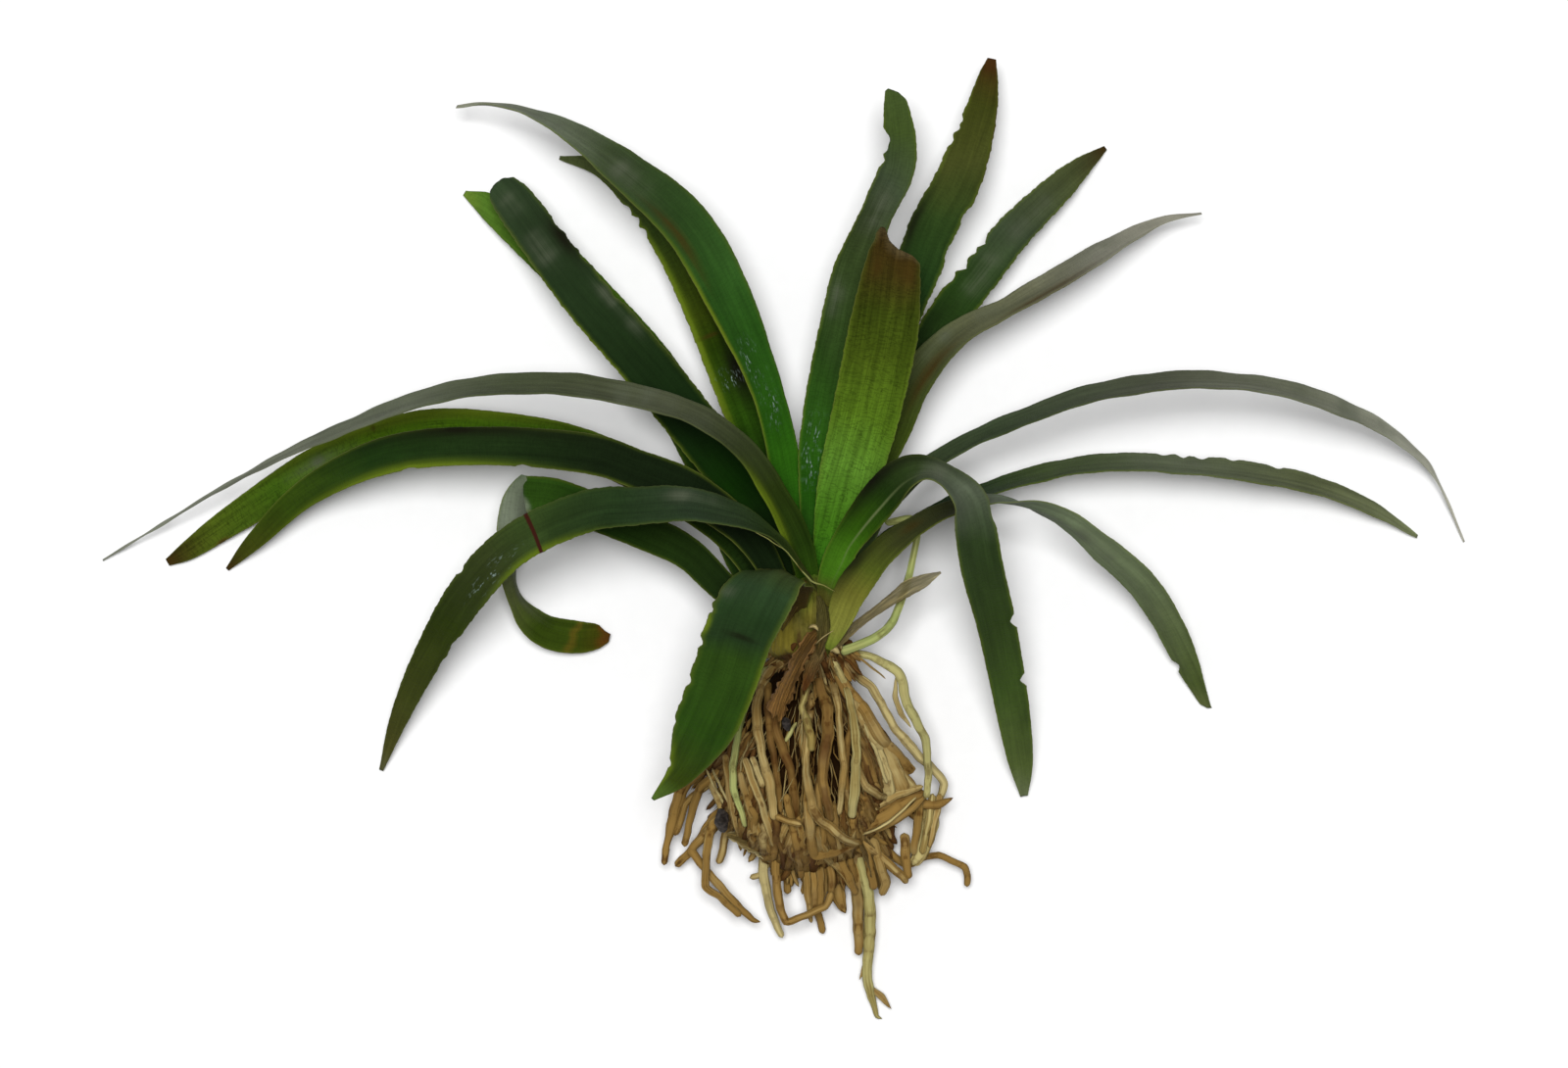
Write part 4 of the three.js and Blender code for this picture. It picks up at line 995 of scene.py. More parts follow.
grow_root("root_right_pale", 1, [
    [9.6, -24, 23, 0.7],
    [12.4, -29.4, 20, 0.7],
    [13.9, -35, 18, 0.8],
    [14.5, -40, 18, 0.95],
    [14.8, -44, 18, 0.95],
    [14.5, -50, 18, 1.05],
    [13.8, -57, 16, 0.85],
], (0, 0.6, 0.15), "pale_root")
grow_root("root_diagonal", 1, [
    [9.8, -24.2, 20, 0.8],
    [12.6, -29.6, 20, 0.8],
    [14.6, -32.4, 20.8, 1],
    [17.2, -36.2, 20, 1.25],
    [20, -41, 18, 1.3],
    [23, -44.2, 16, 1.25],
    [26.4, -47.6, 13, 1.05],
], (0.1, 0.2, 0))
grow_root("root_under_skin", 0, [
    [10, -24.4, 16, 0.9],
    [14.4, -34.4, 20.4, 1],
    [17.2, -39.4, 19.4, 1.1],
    [21.4, -45, 16, 1.15],
    [25, -49.4, 13.4, 1.1],
    [28.4, -53.6, 11.4, 0.9],
], (0, 0.4, 0))
grow_root("root_outer_right", 0, [
    [10.4, -23.6, 17.4, 0.8],
    [14.4, -27.4, 16, 0.9],
    [17.6, -30, 15, 0.95],
    [19.6, -33.2, 14, 0.9],
    [22.4, -38.2, 13, 0.85],
    [25, -41.4, 12, 1.05],
    [28, -44.8, 10, 0.95],
    [31.2, -47.8, 9, 0.85],
    [32.7, -50, 8, 0.85],
    [31.4, -53.8, 7, 0.75],
], (0, 0.75, 0))
grow_root("root_outer_pale", 2, [
    [11.2, -22.6, 19.4, 0.7],
    [17, -23.8, 19, 0.8],
    [20, -25.2, 19, 0.9],
    [23.2, -27.2, 19, 1],
    [24.2, -29.6, 18.8, 1],
    [25, -33.6, 18, 1],
    [27.2, -37.8, 16.6, 0.95],
    [29, -41.2, 15.4, 0.85],
    [29.4, -47, 14, 0.8],
    [29.1, -53, 13, 0.7],
], (0, 0.95, 0.3), "pale_root", branches=[
    ([[22.9, -28.2, 18.6, 0.2], [22.7, -32, 18, 0.6], [23.9, -35.6, 17, 0.55], [25.9, -38.6, 16, 0.15]],
     (0, 0.8, 0), 0.35),
])

# Roots that come out of the bundle on its left, at its lower end and on its right. Most were broken off
# short. The thick tap root at the lower end is two roots side by side, split into spurs at its tip.
grow_root("root_left_outer", None, [
    [-12, -43, 9, 1.3],
    [-20, -49.6, 9.5, 1.3],
    [-22, -54.4, 9, 1.25],
    [-23, -58.8, 8, 1.1],
    [-23.7, -61.4, 7, 0.75],
    [-24.5, -66.6, 6, 0.7],
])
grow_root("root_left_inner", None, [
    [-11, -46, 13, 0.9],
    [-16.8, -50.4, 13, 0.9],
    [-18.6, -55, 12, 0.85],
    [-19.4, -58.4, 11, 0.75],
    [-20.4, -62.8, 9, 0.75],
], (0.2, 0, 0), branches=[
    ([[-12, -47, 11, 0.8], [-15.6, -50.4, 10.6, 0.8], [-18.4, -52.4, 10, 0.8], [-20.2, -54.2, 9.4, 0.75],
      [-21, -57.2, 8.6, 0.7], [-22.2, -60.6, 8, 0.6]], (0.1, 0.2, 0), 0.85),
])
grow_root("root_left_low", None, [
    [-9, -53, 5, 1],
    [-14, -56.6, 5.5, 1],
    [-17.4, -61.6, 5.5, 0.95],
    [-19.4, -64.2, 5, 0.85],
    [-22.2, -66.8, 4, 0.8],
], (0.2, 0, 0))
grow_root("root_left_bent", None, [
    [-9, -52, 8.6, 0.9],
    [-14, -58, 8.4, 0.9],
    [-18.8, -63.6, 7.6, 0.85],
    [-13, -71, 8, 0.85],
    [-9, -75.4, 7, 0.8],
    [-6.4, -77.7, 6.4, 0.6],
    [-4.8, -78.2, 6, 0.2],
], (0, 0.15, 0))
grow_root("root_left_kinked", None, [
    [-9, -55, 11.8, 1],
    [-14.4, -58, 11.6, 1],
    [-15.5, -62, 11.4, 0.95],
    [-15.9, -67, 11, 0.8],
    [-16.1, -71, 10.5, 0.8],
    [-13, -73.2, 10, 0.7],
    [-8.8, -77, 9, 0.75],
], (0, 0.2, 0))
grow_root("root_left_short", None, [
    [-7, -55, 6, 0.9],
    [-11.8, -60, 6, 0.9],
    [-12.4, -63.4, 5.6, 0.8],
    [-13.4, -66.4, 5, 0.75],
], (0, 0.25, 0))
grow_root("root_bottom_white", None, [
    [-2, -56, 10, 1.1],
    [-4.2, -65, 8, 1],
    [-4, -70, 7, 1],
    [-3.2, -74, 6, 0.9],
    [-2, -77.6, 4.6, 0.85],
    [-0.3, -81.4, 3.5, 0.6],
], (0, 1.3, 0), "pale_root", branches=[
    ([[-3, -66, 7.4, 0.6], [-5, -68.6, 7.2, 0.6], [-7, -69.2, 7, 0.7]], (0, 0.6, 0), 0.85),
])
grow_root("root_bottom_hooked", None, [
    [0.4, -56, 15, 1],
    [-1.8, -65, 12.6, 0.9],
    [-1.2, -73, 11, 0.9],
    [0.4, -78.2, 10.4, 0.8],
    [4, -77, 11.2, 0.75],
    [8.4, -75, 11.8, 0.75],
    [9.8, -72, 12, 0.8],
], (0.15, 0.1, 0))
grow_root("root_bottom_stub", None, [
    [2, -58, 5, 0.8],
    [0.8, -66, 5, 0.75],
    [0.6, -72.5, 4, 0.75],
], (0.3, 0, 0))
grow_root("root_bottom_thin", None, [
    [5, -56, 2.8, 1],
    [6, -66, 2.6, 1],
    [6.7, -75, 2.4, 0.8],
    [8, -80.6, 2.2, 0.7],
])
grow_root("root_bottom_broad", None, [
    [7, -55, 9, 2.2],
    [6.8, -66, 8.2, 2.4],
    [6.8, -71, 7.4, 2.2],
    [6, -76.6, 7, 1.2],
], (0.1, 0.1, 0), flat=0.5, branches=[
    ([[4, -60, 10.6, 0.8], [4.4, -66, 9.6, 0.85], [4.8, -72, 8.4, 0.85], [5.6, -78.4, 7, 0.4]],
     (0, 0.25, 0), 0.8),
    ([[7, -60, 10.8, 0.9], [7.2, -66, 9.8, 0.95], [7.6, -71, 8.8, 0.85], [7.2, -75.8, 7.6, 0.6]],
     (0.2, 0.2, 0), 0.8),
    ([[9.4, -60, 10.4, 0.8], [9.2, -66, 9.4, 0.8], [9.8, -70, 8.4, 0.8], [9.4, -74.6, 7.4, 0.5]],
     (0.3, 0, 0), 0.8),
])
grow_root("root_bottom_spur", None, [
    [9, -56, 3.6, 1.3],
    [9.8, -66, 3.6, 1.4],
    [10.9, -72, 3.4, 1.5],
    [11.8, -75, 3.2, 1],
    [12.6, -76.4, 3, 0.3],
], (0.1, 0.1, 0), flat=0.6)
grow_root("root_tap", None, [
    [12, -54, 7, 1.4],
    [15.8, -66, 7, 1.3],
    [17.3, -73, 6, 1.2],
    [17.6, -80, 5, 1.25],
    [17.1, -84.8, 4, 1.15],
    [16.9, -88, 3.6, 1],
    [17.2, -91, 3, 1.05],
    [18.1, -94.4, 2.2, 0.7],
    [18.9, -97.4, 1.4, 0.45],
    [20, -98, 1.2, 0.15],
], (0, 0.6, 0.25), flat=0.8, branches=[
    ([[11, -56, 6.6, 1.2], [14.4, -66, 6.8, 1.2], [15, -73, 6, 1.2], [15.2, -80, 5, 1.1],
      [15.3, -85, 4.2, 0.85]], (0.25, 0.3, 0), 0.8),
    ([[16.8, -85.6, 3.6, 0.5], [16.2, -88, 3.4, 0.5], [15.3, -90, 3.2, 0.1]], (0.1, 0.3, 0), 0.4),
    ([[17.8, -91.4, 2.8, 0.4], [19.9, -93.4, 2.4, 0.75], [21.9, -96, 2, 0.1]], (0, 0.4, 0), 0.35),
])
grow_root("root_lower_right", None, [
    [12, -56, 14, 1.2],
    [17, -62.4, 13, 1],
    [21, -66, 11, 1],
    [24, -68.8, 9.6, 0.9],
    [25.3, -70.2, 9, 0.7],
], (0.1, 0.2, 0), branches=[
    ([[24.6, -60, 10.4, 1], [24.8, -65, 9.8, 1], [25.5, -69.4, 9, 0.8]], (0.1, 0.2, 0), 0.8),
    ([[16, -60, 13.4, 1], [17.4, -66, 12, 1], [18.4, -71.6, 9.4, 0.9]], (0.3, 0.1, 0), 0.8),
    ([[18, -61, 13, 1], [19.8, -67, 11.4, 1], [20.7, -70.4, 9.8, 1.1], [19.8, -72.8, 8.8, 0.7]],
     (0, 0.3, 0), 0.8),
])
grow_root("root_arm", None, [
    [14, -58, 3.4, 0.9],
    [24.6, -66.4, 4, 0.8],
    [29, -64.8, 5, 0.7],
    [31.4, -64.5, 5.4, 0.7],
    [34, -65.6, 5.4, 0.7],
    [36.9, -67, 5, 0.7],
    [37.4, -68.6, 4, 0.7],
    [37.4, -71, 3, 0.7],
])
grow_root("root_right_flat", None, [
    [17, -50, 5.6, 1.6],
    [26, -53, 6, 1.8],
    [29.4, -57, 7, 2.1],
    [28.6, -61.4, 8, 2.1],
    [27.6, -64.6, 8.4, 1.6],
    [26.2, -66.6, 8.4, 0.9],
], (0, 0.5, 0.1), flat=0.4, branches=[
    ([[28, -51, 10.6, 0.8], [27.4, -57, 9.8, 0.9], [26.4, -64.6, 9.8, 0.7]], (0, 0.3, 0), 0.6),
    ([[30.4, -52, 9.6, 0.8], [29.6, -57, 9, 0.8], [28.2, -64.4, 9.6, 0.7]], (0, 0.5, 0.1), 0.6),
    ([[31.8, -52, 8.6, 0.7], [31, -56.4, 8.4, 0.8], [29.6, -63, 9, 0.6]], (0, 0.3, 0), 0.6),
])
grow_root("root_right_spike", None, [
    [14, -54, 9.6, 1],
    [26, -54.2, 9.6, 1],
    [31.4, -54.2, 9.2, 1],
    [34.5, -52.8, 9, 0.2],
], (0.3, 0, 0))
grow_root("root_right_cross", None, [
    [8, -58, 12, 0.9],
    [14.4, -60.4, 12.4, 0.9],
    [21, -58.2, 12.8, 0.9],
    [25.4, -55.6, 13, 0.8],
    [28.6, -52.6, 13, 0.7],
], (0.2, 0.2, 0), branches=[
    ([[11, -58.6, 13.4, 0.7], [17.4, -57.4, 13.8, 0.8], [22, -55.6, 13.8, 0.8], [27, -52.4, 13.6, 0.7]],
     (0.3, 0.1, 0), 0.7),
    ([[15, -52, 14, 0.8], [20, -53.2, 13.6, 0.8], [27, -52.6, 13, 0.7]], (0.1, 0.2, 0), 0.7),
])

# The runner: a young stem, pale green and almost even in width. It leaves the crown on its right and
# loops up behind the drooping leaf.
grow_root("runner", None, [
    [11.4, -23, 22.4, 1],
    [14, -22.2, 22.2, 0.95],
    [18, -20.6, 21.6, 0.9],
    [20.6, -18.8, 21, 0.9],
    [22.4, -16.4, 20.4, 0.85],
    [24, -12.4, 19.6, 0.8],
    [25.4, -8, 19, 0.75],
    [26.5, -3, 18.6, 0.7],
    [27.2, 1, 18.6, 0.7],
    [26, 4.2, 19, 0.7],
    [20.6, 3.2, 19.5, 0.7],
], (0, 0.8, 0.75), "pale_root", lumpy=0.03, wavy=0.03, flat=1)

# The crown: the short swollen stem under the leaf bases, wrapped in yellowish sheaths. A ridged bulb
# swells at its left, a green leaf base and a thin membrane stand beside it, and a brown fibrous remnant
# of a leaf lies on it.
CROWN_MIDDLE = (5.6, -17, 20)  # mm, x, y and height
CROWN_HALF = (7.6, 11, 8)  # mm, half widths along x, y and up
SHEATH_FIT = 0.97  # the plain ellipsoid under the ridges and swellings, against the crown's half widths
CROWN_LUMPS = [
    {"x": -0.4, "y": -21, "height": 2.6, "wide": 2.6, "long": 3.4},
    {"x": 4.8, "y": -13.4, "height": 2, "wide": 1.7, "long": 4},
    {"x": 7.8, "y": -17, "height": 1, "wide": 1.5, "long": 4},
]


def crown_skin():
    """An ellipsoid about an axis along the plant. The first parameter runs round the axis, the second
    from its far end to its near one. It is ridged lengthwise and raised by a bell curve at each swelling.
    The marks are how green, brown and yellow it is; the brown beside the bulb on its right and under it is
    painted shadow."""
    turn = np.linspace(0, 2 * np.pi, 160, endpoint=False)[None, :]
    polar = np.linspace(0.04, 0.96, 110)[:, None] * np.pi
    out = np.stack([
        np.sin(polar) * np.cos(turn),
        np.cos(polar) + 0 * turn,
        np.sin(polar) * np.sin(turn),
    ], axis=-1)
    places = np.array(CROWN_MIDDLE) + out * np.array(CROWN_HALF) * SHEATH_FIT
    rise = 0.16 * np.cos(17 * turn + 2 * np.sin(3 * polar)) + 0.1 * np.cos(31 * turn)
    rise = rise * np.sin(polar)

    def near(x, y, wide, long):
        """A bell curve, 1 at a place and this wide along x and long along y."""
        return np.exp(-(((places[..., 0] - x) / wide) ** 2) - ((places[..., 1] - y) / long) ** 2)

    for lump in CROWN_LUMPS:
        bell = near(lump["x"], lump["y"], lump["wide"], lump["long"])
        rise = rise + lump["height"] * bell * (out[..., 2] > -0.2)
    rings = places + out * rise[..., None]
    leaf_end = np.clip((places[..., 1] + 10) / 3, 0, 1)
    root_end = np.clip((-23 - places[..., 1]) / 2, 0, 1)
    green = np.maximum(leaf_end, 0.7 * near(4.4, -12, 1.6, 3) + 0.5 * near(8.4, -21, 1.4, 3))
    # Brown is dry sheath, except beside the bulb on its right and under it, where it is painted shadow.
    brown = np.maximum.reduce([
        root_end,
        0.7 * near(1.6, -12.4, 1.5, 2) + 0.7 * near(3.1, -21, 0.8, 3),
        0.5 * near(7.4, -11.6, 1.8, 2.4),
        0.8 * near(1.4, -23.4, 3, 1.3),
    ])
    yellow = np.maximum(1.2 * near(-0.2, -19.6, 2.8, 4), 0.6 * near(4.9, -14, 1.3, 3))
    return rings, {"marks": np.stack([green, brown, yellow], axis=-1)}


def crown_tissue(start):
    """Olive sheaths that turn green, yellow or dry and brown where the mesh says so, with fibres along
    them. The brown beside the bulb on its right and under it is painted shadow."""
    place = start.node("ShaderNodeTexCoord", output=3)
    marks = start.mark("marks")
    fibres = place.stretched((1400, 130, 500)).noise(1.0, 4, 0.6)
    blotches = place.noise(300.0, 4, 0.6)
    tissue = blotches.between(0.35, 0.7).blend(tone("4b4519"), tone("6b6430"))
    tissue = (marks.part(2) * (0.5 + blotches)).blend(tissue, tone("867a2c"))
    tissue = (marks.part(0) * (0.5 + blotches)).blend(tissue, tone("46611a"))
    dry_and_shade = (marks.part(1) * 1.3 + (blotches - 0.5) * 1.4 + (fibres - 0.5) * 0.8).between(0.3, 0.95)
    tissue = dry_and_shade.blend(tissue, tone("44311a"))
    return tissue.scaled(0.3 + fibres * 1.15), 0.62 - fibres * 0.1, fibres + blotches, 0.0006


crown_finish = material_of("crown_tissue", crown_tissue, **{"Specular IOR Level": 0.1})
dress(closed_skins("crown_sheaths", [crown_skin()]), crown_finish, "crown")


def papery(body, edge, end=None, clear=0.0):
    """Dry or fleshy tissue with lengthwise fibres. Its body colour turns into another towards the
    margins, and into a third towards the far end. clear is the share of light that passes straight
    through it."""

    def build(start):
        mark, size = start.mark("blade"), start.mark("size")
        fibres = size.stretched((32, 1.3, 3.1)).noise(1.0, 4, 0.65).between(0.3, 0.7)
        cloudy = size.stretched((4, 1.6, 2.3)).noise(1.0, 3)
        far = mark.part(1) + (cloudy - 0.5) * 0.7
        outer = abs(mark.part(0)) + (cloudy - 0.5) * 1.4
        tissue = far.between(0.3, 0.9).blend(tone(body), tone(end or body))
        tissue = outer.between(0.45, 1.1).blend(tissue, tone(edge))
        return tissue.scaled(0.45 + fibres * 0.95), 0.6 - fibres * 0.15, fibres + cloudy, 0.0005

    constants = {"Specular IOR Level": 0.3, "Alpha": 1 - clear}
    return material_of("papery_" + body + edge, build, **constants)


def add_skin(name, slot, finish, stations, node=None, **shape):
    """A thin ragged skin, shaped as a leaf's blade is."""
    settings = {"cup": 0.1, "ripple": 0.5, "ragged": 0.22, "midrib": 0.14, "margin": 0.07, **shape}
    dress(closed_skins(name, [blade(stations, **settings)]), finish, node)


add_skin("brown_flake", "crown", papery("54401e", "5e4e20", "6a5a1e"), [
    [4.4, -8.6, 30.6, 0.6, 0],
    [3.2, -10.8, 30.2, 1.5, 15],
    [1.8, -13.6, 29.2, 1.9, 20],
    [0.6, -16.6, 28.2, 1.3, 10],
    [-0.4, -18.6, 27.6, 0.4, 0],
], seed=32, cup=-0.3, ragged=0.2)
add_skin("crown_membrane", "crown", papery("544e26", "3e3a1c", "5b4a24"), [
    [7, -11.6, 28.8, 0.7, 0],
    [7.8, -14.6, 29.8, 2.4, 0],
    [8, -18, 30, 2.8, 0],
    [7.6, -21.4, 29.6, 1.8, 0],
    [6.8, -24.4, 28.4, 0.5, 0],
], seed=33, cup=-0.35, ragged=0.08, ripple=0.2)
add_skin("brown_tongue", "crown", papery("5e4520", "745530", "7c5a2c"), [
    [7.6, -18.2, 28.8, 1.2, 0],
    [6.2, -19.8, 29.6, 2.6, 0],
    [4.4, -22.4, 29.8, 3.1, -8],
    [2.6, -25.6, 29.6, 3, 0],
    [1.2, -28.6, 29, 3, 8],
    [0, -31.4, 28.8, 3.9, 0],
    [-1, -34.2, 28.8, 4.2, -12],
    [-1.6, -36.6, 28.8, 2.6, 0],
], seed=31, cup=-0.45, ragged=0.35, ripple=0.9, midrib=0.5,
    tip=[(-1, -1.2), (-0.5, 0.4), (0, -0.8), (0.5, 0.8), (1, -0.6)])
add_skin("tongue_fibres", "crown", papery("6b5a34", "5c4522", "5e3a18"), [
    [8, -20, 28.6, 0.6, 0],
    [7.4, -22.6, 28.8, 2, 0],
    [6.2, -25.4, 28.2, 2.6, 0],
    [4.8, -28.6, 27.8, 2.2, 0],
    [4, -31, 27.4, 0.9, 0],
], seed=36, cup=-0.3, ragged=0.3)
scraps = [
    tube([[5, -18.2, 30.2, 0.2], [5.8, -17.8, 30.4, 0.42], [6.6, -18, 30.5, 0.38], [7, -18.8, 30.4, 0.2]],
         tints=(0, 0.7, 0)),
    tube([[6.4, -21.6, 30.8, 0.12], [8, -20, 31.2, 0.13], [10.2, -18.6, 31.2, 0.08]], tints=(0, 0.7, 0)),
    tube([[9, -22.6, 27, 0.6], [10.2, -22.4, 27, 0.7], [11.4, -23.4, 26, 0.4]],
         tints=(0, 0.8, 0), flat=0.6),
    tube([[-7.4, 2.2, 37.4, 0.06], [-3.2, 0, 36.6, 0.1], [0.7, -2.8, 35.2, 0.1], [3.2, -5.9, 33.6, 0.12],
          [5.5, -8.5, 31.6, 0.2], [8, -9.5, 30.2, 0.13], [10.4, -10.8, 30.4, 0.08]], tints=(0, 0.3, 0.6)),
]
dress(closed_skins("crown_scraps", scraps), root_finish)
add_skin("papery_bract", "bract", papery("8d7f50", "84764a", "a39a70", 0.25), [
    [10.6, -21.4, 25, 2, 0],
    [12.6, -19.4, 24.8, 2.4, 0],
    [15.6, -17, 24.4, 1.8, 0],
    [20, -13.8, 23.8, 2, 0],
    [22.8, -11.8, 23.4, 2.6, 0],
    [25.6, -9.9, 23, 3.3, 0],
    [28.6, -8.5, 22.6, 2.6, 0],
    [32, -6.8, 22, 0.4, 0],
], node="bract", seed=35, cup=0.2, ragged=0.06, ripple=0.1)

# The middle of the bundle: a dark core of old soil and dead root, covered by finer roots, flattened root
# skins and hairs that run down and outwards from the crown. Between the thick roots in front it shows as
# a dark hollow. The core is near black, so its colour is also painted shade in that hollow.
RIM_X = [-23, -17, -9, -4, 4, 12, 20, 26, 31]  # mm, places on the lower rim of the bundle
RIM_Y = [-50, -55, -60, -65, -70, -70, -71, -67, -54]
SIDE_Y = [-70, -52, -46, -34, -24]  # mm, places on its right side
SIDE_X = [31, 29, 23.5, 17, 12]
CORE_INSET = 1.5  # mm, from the right side in to the core
CORE_DEPTH = 1.2  # mm, from the mat's dome down to the core
CORE_LEAST = 1.2  # mm, the least height of the core's top
STRAND_HALF = (25, 27)  # mm, half widths along x and y of the ground that fine roots may cover


def right_side(y):
    """Where the bundle ends on its right, which runs slantwise from the crown."""
    return np.interp(y, SIDE_Y, SIDE_X)


def on_mat(bearing, ring):
    """The place on the mat at a bearing round its middle and a share of its half widths."""
    x = MAT_MIDDLE[0] + MAT_HALF[0] * ring * np.cos(bearing)
    y = MAT_MIDDLE[1] + MAT_HALF[1] * ring * np.sin(bearing)
    return x, y


def shoulder_width(y):
    """How far in from its right side the mat begins to fall to the table: 6 mm beside the crown, less
    below."""
    return np.interp(y, [-54, -44], [0.5, 6])


def mat_core():
    """The dome of the mat, a millimetre lower and lumpy, with a rounded shoulder where the bundle ends on
    its right. The first parameter runs along the plant, the second over the top from left to right and
    back along the flat underside."""
    along = np.linspace(-0.92, 0.97, 90)[:, None]
    over = -0.95 * np.cos(np.linspace(0, np.pi, 70))[None, :]
    y = MAT_MIDDLE[1] + MAT_HALF[1] * along + 0 * over
    reach = MAT_HALF[0] * np.sqrt(1 - along ** 2)
    edge = right_side(y) - CORE_INSET
    room = np.minimum((edge - MAT_MIDDLE[0]) / (0.95 * reach), 1)
    x = MAT_MIDDLE[0] + reach * over * np.where(over > 0, room, 1)
    rough = np.sin(2.1 * x + 1.3 * np.sin(1.7 * y)) * np.cos(1.9 * y)
    rough = rough + 0.6 * np.sin(4.3 * x + y) * np.sin(3.7 * y)
    inward = np.clip((edge - x) / shoulder_width(y), 0, 1)
    shoulder = np.sqrt(1 - (1 - inward) ** 2)
    top = np.maximum((mat_height(x * 0.999, y) - CORE_DEPTH) * shoulder + 0.5 * rough, CORE_LEAST)
    under = np.full_like(top, 0.1)
    upper, lower = np.stack([x, y, top], axis=-1), np.stack([x, y, under], axis=-1)
    rings = np.concatenate([upper, lower[:, ::-1]], axis=1)
    blank = np.zeros(rings.shape[:2])
    return rings, {
        "root": np.stack([blank, rings[..., 1] * 0.1, rings[..., 0] * 0.1], axis=-1),
        "tint": np.array([1.8, 0, 0]),
    }


def strand(dice, start, reach, radius, layer, tints, **shape):
    """A fine root that runs from a place on the mat away from the crown, bending a little, up to the
    rim."""
    start = np.array(start)
    away = unit(start - np.array(CROWN_MIDDLE[:2]))
    sideways = np.array([-away[1], away[0]])
    bend = dice.uniform(-0.3, 0.3)
    t = np.linspace(0, 1, 5)[:, None]
    places = start + away * reach * t + sideways * reach * (bend * t + dice.uniform(-0.25, 0.25) * t ** 2)
    x, y = ((places - np.array(MAT_MIDDLE)) / STRAND_HALF).T
    over_rim = places[:, 1] > np.interp(places[:, 0], RIM_X, RIM_Y) + dice.uniform(-4, 5)
    inside = (over_rim & (places[:, 0] < right_side(places[:, 1])) & (np.hypot(x, y) < 1)).mean()
    if inside < 0.5:
        return []
    places = start + (places - start) * inside + dice.normal(0, 0.3, places.shape)
    low = np.linspace(9, dice.uniform(1.5, 8), 5)[:, None]
    girth = radius * np.array([[0.8], [1], [1.05], [0.95], [0.6]])
    return [tube(np.hstack([places, low, girth]), layer, tints, seed=int(dice.integers(1, 900)), **shape)]


def collar():
    """Short fibres and scraps of dead sheath that cling to the crown's lower front, where the roots leave
    it."""
    dice = np.random.default_rng(9)
    skins = []
    for _ in range(90):
        x, y = dice.uniform(-1.5, 13), dice.uniform(-25.5, -20.5)
        away = unit(np.array([x, y]) - np.array(CROWN_MIDDLE[:2])) + dice.normal(0, 0.25, 2)
        reach = dice.uniform(2.5, 7)
        t = np.array([0, 0.35, 0.7, 1])[:, None]
        places = np.array([x, y]) + away * reach * t + dice.normal(0, 0.2, (4, 2))
        x, y = places.T
        out = np.hypot((x - CROWN_MIDDLE[0]) / CROWN_HALF[0], (y - CROWN_MIDDLE[1]) / CROWN_HALF[1])
        surface = CROWN_MIDDLE[2] + CROWN_HALF[2] * np.sqrt(np.maximum(1 - out ** 2, 0))
        height = np.maximum(surface, mat_height(x, y) + 2.5) + dice.uniform(0.1, 0.8)
        radius = dice.uniform(0.15, 0.75) * np.array([0.5, 1, 0.9, 0.5])
        tints = (dice.uniform(0.2, 1), dice.uniform(0, 0.7), 0)
        skins.append(tube(np.stack([x, y, height, radius], axis=1), None, tints, dice.uniform(0.3, 0.8),
                          seed=int(dice.integers(1, 900)), sides=8, step=0.5))
    return skins


def bundle_strands():
    """Roots and flattened skins all round the hollow, and hairs over everything."""
    dice = np.random.default_rng(5)
    skins = []
    for k in range(230):
        start = on_mat(dice.uniform(-2.95, -0.2), dice.uniform(0.45, 0.97))
        skin_of_root = k % 3 == 0
        radius = dice.uniform(0.6, 1) if skin_of_root else dice.uniform(0.4, 0.9)
        tints = (dice.uniform(0.2, 1), dice.uniform(-0.1, 0.4), 0)
        flat = dice.uniform(0.2, 0.4) if skin_of_root else 0.85
        skins.extend(strand(dice, start, dice.uniform(8, 18), radius, dice.uniform(-0.3, 0.3), tints,
                            flat=flat, sides=10, step=0.8))
    for _ in range(150):
        start = on_mat(dice.uniform(-2.75, -0.4), dice.uniform(0.7, 0.9))
        tints = (dice.uniform(0.1, 1), dice.uniform(-0.2, 0.4), 0)
        skins.extend(strand(dice, start, dice.uniform(5, 10), dice.uniform(0.35, 0.9), dice.uniform(0, 0.5),
                            tints, flat=dice.uniform(0.4, 0.9), sides=10, step=0.6))
    for _ in range(70):
        start = (dice.uniform(-7, 16), dice.uniform(-64, -55))
        tints = (dice.uniform(0, 0.8), dice.uniform(-0.1, 0.5), 0)
        skins.extend(strand(dice, start, dice.uniform(6, 12), dice.uniform(0.4, 1), dice.uniform(0.3, 0.9),
                            tints, flat=dice.uniform(0.4, 0.9), sides=10, step=0.6))
    for _ in range(60):
        side = dice.choice([-1, 1])
        start = (MAT_MIDDLE[0] + side * dice.uniform(9, 15), dice.uniform(-50, -32))
        tints = (dice.uniform(0.2, 1), dice.uniform(0, 0.4), 0)
        skins.extend(strand(dice, start, dice.uniform(9, 20), dice.uniform(0.4, 0.8),
                            dice.uniform(-0.3, 0.1), tints, sides=8, step=0.8))
    for _ in range(260):
        start = on_mat(dice.uniform(0, 2 * np.pi), 0.85 * np.sqrt(dice.uniform(0, 1)))
        tints = (dice.uniform(0, 0.8), dice.uniform(0, 0.9), 0)
        skins.extend(strand(dice, start, dice.uniform(4, 14), dice.uniform(0.08, 0.17),
                            dice.uniform(-0.3, 0.6), tints, sides=5, step=1.6))
    return skins


